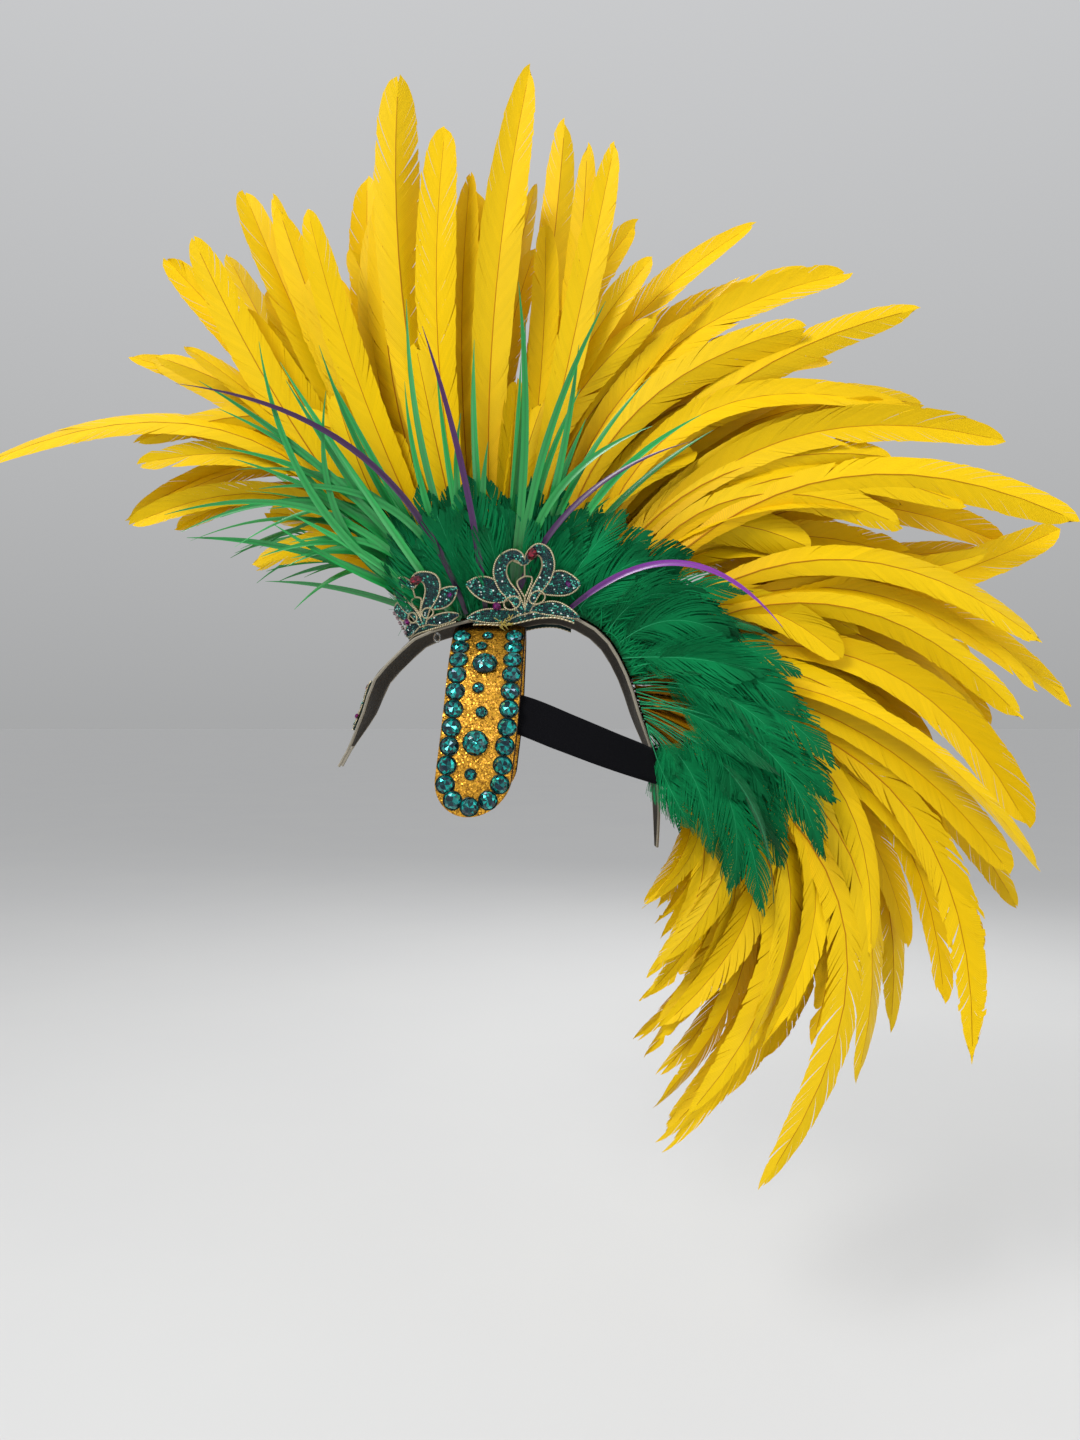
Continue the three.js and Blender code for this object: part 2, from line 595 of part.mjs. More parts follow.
// A point of the cross band: distance along it from the left tip, place across it, height over its underside.
function crossPoint(distance, across, lift) {
  const share = THREE.MathUtils.clamp(distance / crossLength, 0, 1);
  const p = crossLine.getPointAt(share);
  const t = crossLine.getTangentAt(share);
  const normal = new THREE.Vector3(0, -t.z, t.y).normalize();
  const fall = CROSS_CAMBER * (across / (CROSS_WIDTH / 2)) ** 2;
  return p.add(new THREE.Vector3(across, 0, 0)).addScaledVector(normal, lift - fall);
}

function crossBand() {
  const radius = CROSS_WIDTH / 2;
  const tipCut = 0.15;
  piece('cross_band', wall(44, 2, (u, v, w) => {
    const distance = THREE.MathUtils.lerp(tipCut, crossLength - tipCut, 0.5 - 0.5 * Math.cos(Math.PI * u));
    const toTip = Math.min(distance, crossLength - distance, radius);
    const half = Math.sqrt(radius * radius - (radius - toTip) * (radius - toTip));
    return crossPoint(distance, v * half, CROSS_WALL * w);
  }), gold());
}

// A cut stone: a flat table above a ring of facets, standing on z = 0.
function cutStone(diameter, height, sides = STONE_SIDES) {
  const r = diameter / 2;
  const outline = [[0, 0], [r, 0], [r * TABLE_SHARE, height], [0, height]];
  const profile = outline.map(([x, y]) => new THREE.Vector2(x, y));
  return closed(new THREE.LatheGeometry(profile, sides).rotateX(Math.PI / 2));
}

// Puts a shape that stands on z = 0 onto the left side of the cross band.
function onCross(geometry, fromTip, across, radius) {
  const lift = CROSS_WALL + SEAT_GAP + (radius * radius) / (2 * CROSS_TIGHTEST_BEND);
  const at = crossPoint(fromTip, across, lift);
  const normal = crossPoint(fromTip, across, lift + 1).sub(at);
  const turn = new THREE.Quaternion().setFromUnitVectors(UP, normal);
  return geometry.clone().applyQuaternion(turn).translate(at.x, at.y, at.z);
}

// The U-shaped row inside the left side's edge: its round end, its straight sides, and its place at a distance.
const edgeRadius = CROSS_WIDTH / 2 - EDGE_STONE_INSET;
const edgeStraight = sideLength - EDGE_ROW_TOP - CROSS_WIDTH / 2;
const edgeLength = 2 * edgeStraight + Math.PI * edgeRadius;

function edgeRow(along) {
  const radius = edgeRadius;
  const straight = edgeStraight;
  const round = Math.PI * radius;
  if (along < straight) return { fromTip: CROSS_WIDTH / 2 + straight - along, across: -radius };
  if (along > straight + round) {
    return { fromTip: CROSS_WIDTH / 2 + along - straight - round, across: radius };
  }
  const angle = (along - straight) / radius;
  return { fromTip: CROSS_WIDTH / 2 - radius * Math.sin(angle), across: -radius * Math.cos(angle) };
}

function edgeStones() {
  const radius = EDGE_SETTING_DIAMETER / 2;
  const stone = cutStone(EDGE_SETTING_DIAMETER, EDGE_STONE_HEIGHT);
  const intervals = Math.ceil(edgeLength / EDGE_STONE_PITCH);
  const stones = Array.from({ length: intervals + 1 }, (_, i) => {
    const step = edgeLength / intervals;
    const { fromTip, across } = edgeRow(i * step);
    const ahead = edgeRow((i + 1) * step);
    const turn = Math.atan2(ahead.fromTip - fromTip, ahead.across - across);
    return onCross(stone.clone().rotateZ(turn), fromTip, across, radius);
  });
  pair('edge_stones', joined(stones), tealStone);
}

function centreStones() {
  CENTRE_STONES.forEach(({ down, across, big }, i) => {
    const diameter = big ? BIG_STONE_DIAMETER : SMALL_STONE_DIAMETER;
    const height = big ? BIG_STONE_HEIGHT : SMALL_STONE_HEIGHT;
    const stone = cutStone(diameter, height, big ? BIG_STONE_SIDES : STONE_SIDES);
    const shape = onCross(stone, sideLength * (1 - down), (across * CROSS_WIDTH) / 2, diameter / 2);
    pair('centre_stone', shape, tealStone, `_${i + 1}`);
  });
}

const tailShare = crownShare((p) => p.x > 0 && p.z < -STRAP_BACK_DROP);
const strapBack = crownPoint(tailShare, 0, BAND_WALL).x + STRAP_GAP;
const strapHalf = STRAP_SECTIONS.map(({ along, out, fall }) => {
  const z = -THREE.MathUtils.lerp(STRAP_FRONT_DROP, STRAP_BACK_DROP, fall);
  return new THREE.Vector3(along * strapBack, -out * CROSS_HALF_SPAN, z);
});
const strapLine = new THREE.CatmullRomCurve3([
  ...strapHalf,
  new THREE.Vector3(strapBack, 0, -STRAP_BACK_DROP),
  ...strapHalf.map((p) => new THREE.Vector3(p.x, -p.y, p.z)).reverse(),
]);

// The strap's directions at a share of its length: along, up across its width, and outward.
function strapFrame(share) {
  const along = strapLine.getTangentAt(share);
  const flat = new THREE.Vector3(along.y, -along.x, 0).normalize();
  const outward = flat.multiplyScalar(Math.cos(STRAP_LEAN)).addScaledVector(UP, Math.sin(STRAP_LEAN));
  const across = new THREE.Vector3().crossVectors(along, outward).normalize();
  return { along, across, outward: new THREE.Vector3().crossVectors(across, along).normalize() };
}

function strap() {
  piece('back_strap', wall(30, 1, (u, v, w) => {
    const { across, outward } = strapFrame(u);
    return strapLine.getPointAt(u).addScaledVector(across, (v * STRAP_WIDTH) / 2)
      .addScaledVector(outward, STRAP_WALL * w);
  }), velvet());

  const block = (length, height, depth, x) => {
    return closed(new THREE.BoxGeometry(length, height, depth).translate(x, 0, SLIDER_WALL / 2));
  };
  const slotLength = (SLIDER_LENGTH - 3 * SLIDER_BAR) / 2;
  const slotHeight = SLIDER_HEIGHT - 2 * SLIDER_BAR;
  const slots = [-1, 1].map((side) => {
    return block(slotLength, slotHeight, 2 * SLIDER_WALL, (side * (slotLength + SLIDER_BAR)) / 2);
  });
  const slider = carved(block(SLIDER_LENGTH, SLIDER_HEIGHT, SLIDER_WALL, 0), slots);
  const { along, across, outward } = strapFrame(0.5);
  const seat = strapLine.getPointAt(0.5).addScaledVector(outward, STRAP_WALL + STRAP_GAP);
  const frame = new THREE.Matrix4().makeBasis(along, across.clone(), outward).setPosition(seat);
  piece('strap_slider', closed(slider.applyMatrix4(frame)), blackPlastic());
}

// Half of the swan motif's neck: shares of half width and height, and the stroke's share of the height.
const NECK = [
  { x: 0.06, y: 0.1, width: 0.09 },
  { x: 0.3, y: 0.36, width: 0.12 },
  { x: 0.46, y: 0.64, width: 0.12 },
  { x: 0.38, y: 0.87, width: 0.11 },
  { x: 0.2, y: 0.91, width: 0.1 },
  { x: 0.03, y: 0.7, width: 0.08 },
];

// The neck's height and the stones' foot as shares of the motif's wall, the stones' rise as a share of their
// width, and where a leaf is widest.
const NECK_RELIEF = 1.3;
const STONE_FOOT = 0.22;
const STONE_RISE = 0.36;
const LEAF_BULGE = 0.45;

// The motif's foot bar and stem: shares of half width, of height and of the wall.
const MOTIF_BARS = [
  { half: 0.8, low: 0.0, high: 0.09, relief: 0.9 },
  { half: 0.035, low: 0.04, high: 0.74, relief: 1.15 },
];

// Its stones: shares of half width and height, and the diameter.
const MOTIF_STONES = [
  { x: 0.0, y: 0.84, diameter: RUBY_DIAMETER },
  { x: -0.42, y: 0.26, diameter: ACCENT_DIAMETER },
  { x: 0.62, y: 0.4, diameter: ACCENT_DIAMETER },
];

// Leaves of the swan's wing: root, tip and width.
const WING_LEAVES = [
  { x: 0.3, y: 0.3, tipX: 1.0, tipY: 0.5, width: 0.2 },
  { x: 0.26, y: 0.22, tipX: 0.97, tipY: 0.25, width: 0.16 },
  { x: 0.04, y: 0.08, tipX: 1.0, tipY: 0.05, width: 0.15 },
];

// The flat motif as one body, foot on y = 0, face towards +z.
function motif(width, height) {
  const flat = (outline, depth) => {
    return closed(new THREE.ExtrudeGeometry(new THREE.Shape(outline), { depth, bevelEnabled: false }));
  };
  const parts = [];
  for (const side of [-1, 1]) {
    const at = ({ x, y }) => new THREE.Vector2((side * x * width) / 2, y * height);
    const centres = NECK.map(at);
    const edges = [1, -1].map((edge) => centres.map((p, i) => {
      const next = centres[Math.min(i + 1, centres.length - 1)];
      const last = centres[Math.max(i - 1, 0)];
      const run = next.clone().sub(last).normalize();
      const out = (edge * NECK[i].width * height) / 2;
      return new THREE.Vector2(p.x - run.y * out, p.y + run.x * out);
    }));
    parts.push(flat([...edges[0], ...edges[1].reverse()], MOTIF_WALL * NECK_RELIEF));
    for (const leaf of WING_LEAVES) {
      const root = at(leaf);
      const tip = at({ x: leaf.tipX, y: leaf.tipY });
      const run = tip.clone().sub(root);
      const out = new THREE.Vector2(-run.y, run.x).normalize().multiplyScalar((leaf.width * height) / 2);
      const bulge = (share, sign) => root.clone().addScaledVector(run, share).addScaledVector(out, sign);
      const outline = [root, bulge(LEAF_BULGE, -1), tip, bulge(LEAF_BULGE, 1)];
      parts.push(flat(outline, MOTIF_WALL));
    }
  }
  for (const { half, low, high, relief } of MOTIF_BARS) {
    const corners = [[-half, low], [half, low], [half, high], [-half, high]];
    const outline = corners.map(([x, y]) => new THREE.Vector2((x * width) / 2, y * height));
    parts.push(flat(outline, MOTIF_WALL * relief));
  }
  for (const { x, y, diameter } of MOTIF_STONES) {
    const size = (diameter * height) / MOTIF_HEIGHT;
    const stone = cutStone(size, MOTIF_WALL + size * STONE_RISE);
    parts.push(stone.translate((x * width) / 2, y * height, MOTIF_WALL * STONE_FOOT));
  }
  return joined(parts);
}

const WIRE_OUTSIDE = HALF_BAND + SEAT_GAP + WIRE_DIAMETER;

function sideMotifs() {
  const centre = crownShare((p) => p.x > MOTIF_CENTRE);
  const shape = warp(motif(MOTIF_WIDTH, MOTIF_HEIGHT), (x, y, z) => {
    const p = crownPoint(centre + x / crownLength, 0, y - MOTIF_BELOW - BAND_CAMBER);
    p.y = -(WIRE_OUTSIDE + SEAT_GAP + y * Math.tan(MOTIF_LEAN) + z);
    return p;
  });
  pair('applique_side', closed(shape), beadwork);
}

// The front motif's foot line on the band: distance ahead of the crossing, sideways share of the half width.
const FRONT_FOOT = [
  { ahead: 21, out: 1.16 },
  { ahead: 37, out: 1.1 },
  { ahead: 48, out: 0.84 },
  { ahead: 54, out: 0.4 },
];

function frontMotifs() {
  const foot = new THREE.CatmullRomCurve3(FRONT_FOOT.map(({ ahead, out }) => {
    const share = crownShare((p) => p.x > -ahead);
    return crownPoint(share, -out * HALF_BAND, BAND_WALL + 2 * SEAT_GAP);
  }));
  const footLength = foot.getLength();
  const shape = warp(motif(FRONT_MOTIF_WIDTH, FRONT_MOTIF_HEIGHT), (x, y, z) => {
    const share = THREE.MathUtils.clamp(0.5 - x / footLength, 0, 1);
    const p = foot.getPointAt(share);
    const t = foot.getTangentAt(share);
    const outward = new THREE.Vector3(-t.y, t.x, 0).normalize();
    const raised = UP.clone().multiplyScalar(Math.cos(FRONT_MOTIF_LEAN))
      .addScaledVector(outward, Math.sin(FRONT_MOTIF_LEAN));
    return p.addScaledVector(raised, y).addScaledVector(outward, z);
  });
  pair('applique_front', closed(shape), beadwork);
}

function foreheadMotif() {
  const shape = warp(motif(FOREHEAD_MOTIF_WIDTH, FOREHEAD_MOTIF_HEIGHT), (x, y, z) => {
    return crownPoint((FOREHEAD_MOTIF_FOOT + y) / crownLength, x, BAND_WALL + SEAT_GAP + z);
  });
  piece('forehead_applique', closed(shape), beadwork());
}

function dropLoop() {
  const ring = new THREE.TorusGeometry(DROP_WIDTH / 2, DROP_WIRE / 2, 6, 10);
  ring.scale(1, DROP_LENGTH / (DROP_WIDTH + DROP_WIRE), 1).rotateX(Math.PI / 2);
  const share = crownShare((p) => p.x > -DROP_AHEAD);
  const hang = crownPoint(share, -(HALF_BAND - DROP_INSET), 0);
  const drop = hang.z - SEAT_GAP * 2 - DROP_LENGTH / 2;
  piece('drop_loop', closed(ring.translate(hang.x, hang.y, drop)), clearDrop());
}

crownBand();
crownWires();
crossBand();
edgeStones();
centreStones();
strap();
sideMotifs();
frontMotifs();
foreheadMotif();
dropLoop();
crest();
plumage();

export default headdress;
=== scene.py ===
import math

import bpy
import numpy as np
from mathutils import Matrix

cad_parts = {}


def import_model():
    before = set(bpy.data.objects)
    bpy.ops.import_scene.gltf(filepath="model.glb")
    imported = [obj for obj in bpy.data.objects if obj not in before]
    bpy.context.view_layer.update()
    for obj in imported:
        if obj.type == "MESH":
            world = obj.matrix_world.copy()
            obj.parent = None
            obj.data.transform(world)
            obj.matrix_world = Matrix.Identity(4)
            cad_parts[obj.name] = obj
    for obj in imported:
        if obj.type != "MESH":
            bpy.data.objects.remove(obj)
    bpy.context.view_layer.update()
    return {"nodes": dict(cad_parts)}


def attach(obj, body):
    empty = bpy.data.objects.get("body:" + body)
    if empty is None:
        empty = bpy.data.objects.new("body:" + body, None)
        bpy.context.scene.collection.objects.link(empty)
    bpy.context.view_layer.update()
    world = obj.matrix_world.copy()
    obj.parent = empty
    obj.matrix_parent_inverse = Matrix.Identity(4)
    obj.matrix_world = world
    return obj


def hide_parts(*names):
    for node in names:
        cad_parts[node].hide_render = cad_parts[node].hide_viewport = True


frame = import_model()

bl_info = {
    "name": "Feathered Headdress",
    "version": (1, 0, 0),
    "blender": (4, 5, 0),
    "location": "View3D > Sidebar > Headdress",
    "description": "Feathers, bands, stones and beadwork of a carnival headdress on its CAD frame",
    "category": "Add Mesh",
}

MM = 0.001
BODY = "root"
SIDES = {"left": 1.0, "right": -1.0}

# The bands, in millimetres, sized as the frame's solids. The wearer faces -X, and the wearer's left is -Y.
SEAT_GAP = 0.3
BAND_HALF, BAND_WALL, BAND_CAMBER = 32.5, 2.0, 3.0
FRONT_REACH, FRONT_DROP, BACK_REACH, BACK_DROP = 97.0, 82.0, 109.0, 150.0
CROSS_HALF, CROSS_WALL, CROSS_CAMBER = 23.75, 2.0, 3.6
CROSS_DROP, CROSS_HALF_SPAN, CROSS_SWEEP, CROSS_AHEAD = 124.0, 77.0, 11.0, 2.5
CROWN_EDGE_Z = CROSS_WALL + SEAT_GAP - BAND_CAMBER
STRAP_WALL, STRAP_GAP, STRAP_LEAN = 1.8, 0.95, math.radians(16)
STRAP_FRONT_DROP, STRAP_BACK_DROP, STRAP_HALF = 58.0, 99.0, 12.5

# The crest starts ahead of the crossing and ends below it; slopes are read over a few millimetres of a band.
CREST_AHEAD, CREST_FALL, SLOPE_REACH = 46.0, 72.0, 3.0

# Steps of the lines, rows along the bands, columns across them, the share of a half width that is rounded.
CROWN_STEPS, CROSS_STEPS, STRAP_STEPS, BASE_STEPS = 400, 1600, 800, 48
CROWN_ROWS, CROSS_ROWS, STRAP_ROWS = 181, 241, 161
FELT_COLUMNS, FELT_ROUND, STRAP_COLUMNS, STRAP_ROUND = 13, 0.012, 9, 0.03

# Crown band, front tip to back tip: shares of reach, drop and width.
CROWN_SECTIONS = np.array([
    (-1.0, 1.0, 0.12), (-0.93, 0.85, 0.5), (-0.86, 0.69, 0.8), (-0.79, 0.47, 0.97), (-0.66, 0.3, 1.0),
    (-0.5, 0.13, 1.0), (-0.37, 0.075, 1.0), (-0.13, 0.0, 1.0), (0.08, 0.0, 1.0), (0.29, -0.03, 1.0),
    (0.42, -0.025, 1.0), (0.64, 0.06, 1.0), (0.78, 0.22, 0.94), (0.88, 0.43, 0.8), (0.94, 0.54, 0.6),
    (0.985, 0.68, 0.5), (1.0, 0.84, 0.4), (1.0, 1.0, 0.08),
])

# Half of the cross band's underside, crossing to tip: shares of half span, drop and forward sweep.
CROSS_SECTIONS = np.array([
    (0.0, 0.0, 0.0), (0.22, 0.02, 0.01), (0.43, 0.07, 0.03), (0.62, 0.16, 0.08), (0.78, 0.275, 0.15),
    (0.9, 0.42, 0.24), (0.97, 0.58, 0.4), (1.0, 0.75, 0.62), (0.995, 0.88, 0.8), (0.98, 1.0, 1.0),
])

# Half of the strap: shares of the back reach, of the cross band's half span and of its fall.
STRAP_SECTIONS = np.array([
    (0.03, 0.835, 0.0), (0.18, 0.84, 0.1), (0.42, 0.86, 0.36), (0.68, 0.75, 0.64), (0.9, 0.5, 0.86),
    (1.0, 0.22, 0.97),
])

# Stones down the middle of the cross band: share of the side's length, share of the half width, big or not.
CENTRE_STONES = [
    (0.25, 0.0, False), (0.315, -0.14, False), (0.41, 0.0, True), (0.515, -0.12, False),
    (0.61, 0.02, False), (0.725, -0.05, True), (0.84, -0.08, False),
]

# Diameter and height of the middle stones; count, height, inset and start of the edge row; heights of the
# settings' rims; the gap under a stone, and the radius of the cross band's tightest bend.
BIG_STONE, SMALL_STONE = (15.0, 4.8), (6.6, 2.3)
EDGE_STONES, EDGE_HEIGHT, EDGE_INSET, EDGE_START = 23, 3.5, 6.7, 40
EDGE_RIM, CENTRE_RIM, STONE_GAP, CROSS_TIGHTEST_BEND = 0.9, 0.8, 0.15, 45

# Yellow feathers, brow to nape: root share, tip x and z as shares of the reach, bow, width share.
CREST_REACH, BLADE_WIDTH, ROOT_HEIGHT = 350.0, 27.0, 1.2
CREST_FEATHERS = np.array([
    (0.01, -0.93, 0.27, -0.26, 0.72), (0.03, -0.68, 0.22, -0.34, 0.72), (0.05, -0.78, 0.58, -0.13, 0.85),
    (0.075, -0.63, 0.7, -0.03, 0.9), (0.095, -0.56, 0.78, 0.02, 1.0), (0.115, -0.47, 0.81, 0.02, 0.85),
    (0.135, -0.46, 0.89, 0.03, 0.9), (0.155, -0.4, 0.77, 0.03, 1.0), (0.18, -0.26, 0.91, 0.07, 1.0),
    (0.205, -0.17, 0.98, 0.06, 1.15), (0.225, 0.04, 0.9, 0.09, 1.0), (0.25, 0.07, 0.98, 0.04, 1.0),
    (0.28, 0.136, 0.98, -0.01, 0.85), (0.32, 0.29, 0.86, 0.1, 0.9), (0.36, 0.495, 0.765, 0.14, 0.95),
    (0.4, 0.645, 0.745, 0.17, 1.0), (0.43, 0.665, 0.66, 0.19, 0.9), (0.46, 0.63, 0.57, 0.13, 0.95),
    (0.49, 0.79, 0.58, 0.14, 0.85), (0.52, 0.855, 0.45, 0.21, 1.05), (0.56, 0.945, 0.325, 0.2, 0.9),
    (0.6, 0.93, 0.27, 0.18, 1.0), (0.635, 1.06, 0.17, 0.21, 0.9), (0.67, 1.105, 0.19, -0.05, 0.9),
    (0.7, 1.06, 0.025, 0.2, 0.95), (0.735, 1.11, -0.16, 0.21, 0.85), (0.77, 1.03, -0.26, 0.22, 1.0),
    (0.8, 1.01, -0.385, 0.23, 1.0), (0.825, 1.06, -0.565, 0.15, 0.85), (0.85, 0.89, -0.83, 0.25, 0.9),
    (0.87, 0.79, -0.81, 0.24, 0.95), (0.89, 0.67, -0.85, 0.25, 1.0), (0.91, 0.53, -0.855, 0.27, 0.9),
    (0.93, 0.49, -1.02, 0.3, 0.85), (0.95, 0.33, -0.99, 0.31, 0.85), (0.965, 0.35, -1.035, 0.27, 0.8),
    (0.98, 0.31, -0.925, 0.26, 0.75), (0.995, 0.276, -0.84, 0.3, 0.6),
])

# Fill feathers: shares of the listed ones' reach, blends of neighbours, spread of bow, and widths.
FILL_REACH, SHORT_REACH, SHORT_FILL = (0.7, 0.95), (0.42, 0.62), 2
FILL_BLENDS, FILL_BOWS, FILL_WIDTHS, FILL_NARROWER = (0.1, 0.9), 0.04, (0.85, 1.1), 0.88

# Lanes: how the feathers lie side by side, and how the lanes spread over the crest's reach.
LANE_STEP, LANE_COUNT, LANE_STRIDE, FILL_LANE = 3.4, 11, 5, 17
LANE_SPREAD, OUTER_SPREAD, OUTER_LANES = 2.8, 0.5, (19, 29)
CREST_STRETCHES = [
    ("crest_brow", 0.0, 0.167), ("crest_front", 0.167, 0.3), ("crest_top", 0.3, 0.54),
    ("crest_back", 0.54, 0.81), ("crest_nape", 0.81, 1.0),
]

# Green plumes of one side, in the same columns; x and z are shares of the plumage's reach.
PLUME_REACH, PLUME_WIDTH = 220.0, 26.0
PLUMES = np.array([
    (0.1, -0.29, 0.24, -0.02, 0.7), (0.12, -0.32, 0.31, -0.04, 0.9), (0.14, -0.29, 0.36, 0.0, 1.0),
    (0.17, -0.21, 0.39, 0.0, 1.0), (0.23, -0.12, 0.42, 0.0, 1.0), (0.29, -0.01, 0.41, 0.0, 1.0),
    (0.35, 0.1, 0.4, 0.04, 1.0), (0.41, 0.21, 0.385, 0.06, 1.0), (0.47, 0.33, 0.34, 0.08, 1.0),
    (0.53, 0.465, 0.25, 0.1, 1.0), (0.58, 0.6, 0.2, 0.12, 1.0), (0.64, 0.74, 0.08, 0.14, 1.0),
    (0.69, 0.835, -0.05, 0.15, 1.0), (0.74, 0.9, -0.17, 0.15, 1.0), (0.78, 0.93, -0.29, 0.15, 1.0),
    (0.82, 0.99, -0.43, 0.14, 0.95), (0.86, 1.0, -0.54, 0.14, 0.95), (0.89, 0.96, -0.7, 0.15, 0.95),
    (0.92, 0.85, -0.73, 0.14, 0.95), (0.95, 0.77, -0.85, 0.15, 0.9), (0.975, 0.68, -0.76, 0.14, 0.8),
    (0.995, 0.6, -0.54, 0.12, 0.7),
])

# The plumes' lanes, and for copies: shares of reach, spread of tip, bow and root, and the roots allowed.
PLUME_LANE, PLUME_LANE_STEP, PLUME_LANE_COUNT, PLUME_STRIDE = 21, 1.02, 10, 7
COPY_REACH, COPY_SWAY, COPY_BOW, ROOT_SPREAD, PLUME_ROOTS = (0.55, 0.97), 0.03, 0.07, 0.012, (0.085, 0.995)
PLUME_STRETCHES = [("plumage_front", 0.08, 0.61), ("plumage_back", 0.61, 1.0)]

# Down: root shares from and to, what the full count is divided by, its height. Lean and curl are in radians.
DOWN_PATCHES = [(0.115, 0.6, 1, 60.0), (0.57, 0.8, 5, 26.0)]
DOWN_LANES, DOWN_HALF, DOWN_STEPS = (20.0, 31.0), 0.55, 8
DOWN_LEAN, DOWN_CURL, DOWN_LENGTHS, DOWN_ASIDE, DOWN_TAPER = 0.3, 0.55, (0.45, 1.0), (-0.1, 0.22), 0.85

# Thin biots of one side, in the same columns without a width.
GREEN_BIOTS = np.array([
    (0.1, -0.91, 0.28, -0.2), (0.11, -0.88, 0.24, -0.26), (0.12, -0.74, 0.45, -0.1),
    (0.13, -0.8, 0.64, -0.06), (0.145, -0.59, 0.71, 0.02), (0.16, -0.5, 0.79, 0.05),
    (0.2, -0.24, 0.9, 0.06), (0.25, -0.05, 0.8, 0.03), (0.29, 0.08, 0.91, -0.04),
    (0.33, 0.32, 0.86, 0.06), (0.38, 0.45, 0.67, 0.08), (0.43, 0.6, 0.58, 0.12),
])
PURPLE_BIOTS = np.array([
    (0.16, -0.85, 0.62, -0.17), (0.22, -0.185, 0.79, -0.03), (0.31, 0.565, 0.49, 0.14),
    (0.5, 0.83, -0.03, 0.26),
])
PURPLE_TONES = np.array([0.0, 0.1, 0.05, 1.0])
GREEN_BIOT_WIDTH, PURPLE_BIOT_WIDTH, PURPLE_LANE, PURPLE_HEIGHT = 5.2, 4.2, -32.2, 3.5
BIOT_SECTIONS = np.array([(0.0, 0.7), (0.15, 1.0), (0.55, 0.95), (0.8, 0.65), (1.0, 0.05)])
BIOT_STEPS, BIOT_TURN, BIOT_TWIST, BIOT_CUP = 25, 0.4, 0.7, 0.35

# Copies of a green biot: shares of its reach, spread of tip, bow and root, the roots allowed, the lanes, and
# the root share below which they are doubled.
BIOT_REACH, BIOT_SWAY, BIOT_BOW, BIOT_ROOT_SPREAD = (0.6, 0.97), 0.05, 0.07, 0.02
BIOT_ROOTS, BIOT_LANES, BIOT_DENSE = (0.09, 0.6), (20, 31.5), 0.15

# Widths along a feather: share of its length, share of its width.
BLADE_SECTIONS = np.array([
    (0.0, 0.06), (0.1, 0.16), (0.25, 0.5), (0.45, 0.88), (0.7, 1.0), (0.86, 0.8), (0.95, 0.5), (0.985, 0.26),
    (1.0, 0.04),
])
BLUNT_SECTIONS = np.array([
    (0.0, 0.06), (0.1, 0.16), (0.25, 0.45), (0.45, 0.8), (0.72, 1.0), (0.88, 0.96), (0.95, 0.8), (0.985, 0.5),
    (1.0, 0.06),
])
PLUME_SECTIONS = np.array([(0.0, 0.03), (0.1, 0.16), (0.28, 0.65), (0.55, 1.0), (0.8, 0.75), (1.0, 0.06)])
OUTLINE_STEPS, LINE_STEPS, QUILL_STEPS = 60, 32, 15

# One listed feather is badly frayed, and those of the nape a little.
FRAYED_FEATHER, FRAY, NAPE_FRAY, NAPE = 29, 3.5, 1.2, (0.82, 0.95)

# Barbs: the lowest root as a share of the bare quill and of the line, how far neighbours overlap, how the
# outlines lean to blunt, and how much of a barb's tone it shares with its group.
LOWEST_ROOT, LOWEST_SHARE, OVERLAP, BLUNT_POWER, GROUP_TONE = 0.6, 0.015, 1.04, 0.6, 0.6

# The swan motif as shares of half width and height; the width of a stroke or a leaf is a share of the height.
NECK = np.array([
    (0.03, 0.1, 0.08), (0.18, 0.34, 0.15), (0.36, 0.54, 0.18), (0.42, 0.71, 0.18), (0.36, 0.86, 0.17),
    (0.22, 0.92, 0.15), (0.09, 0.87, 0.11), (0.02, 0.76, 0.05),
])
WING_LEAVES = [(0.22, 0.36, 1.0, 0.56, 0.34), (0.06, 0.13, 1.0, 0.09, 0.2)]
MOTIF_BAR = np.array([(-0.9, 0.035), (0.9, 0.035)])
MOTIF_RIMS = [
    [(-0.2, 0.84), (0.0, 0.74)], [(0.2, 0.84), (0.0, 0.74)], [(0.0, 0.74), (0.0, 0.6)],
    [(0.0, 0.6), (-0.13, 0.55), (0.0, 0.3)], [(0.0, 0.6), (0.13, 0.55), (0.0, 0.3)],
    [(0.0, 0.32), (0.0, 0.05)],
]
MOTIF_CELL = (0.22, 0.27, 0.14, 0.09)

# The motif's wall, the height that its stones are listed for, and their height as a share of their width.
MOTIF_WALL, MOTIF_BASE_HEIGHT, MOTIF_STONE_RISE = 1.8, 46.0, 0.42
MOTIF_STONES = [(0.13, 0.87, 7.6, "ruby"), (-0.48, 0.24, 5.6, "magenta"), (0.78, 0.48, 4.4, "purple")]
CRYSTALS = [(-0.99, 0.5), (-0.93, 0.4), (-0.88, 0.3), (-0.83, 0.2), (-0.78, 0.1)]
CRYSTAL_DIAMETER, CRYSTAL_HEIGHT, CRYSTAL_LIFT = 3.4, 1.6, 2.4
CORD_RADIUS, CORD_SIDES, STITCHES, STITCH_RADIUS = 0.6, 6, 26, 0.26
BEAD_SIZES, BEAD_PITCH, BEAD_JITTER, BEAD_LIFT_JITTER, RIM_INSET = (0.8, 1.15), 0.98, 0.1, 0.12, 0.97

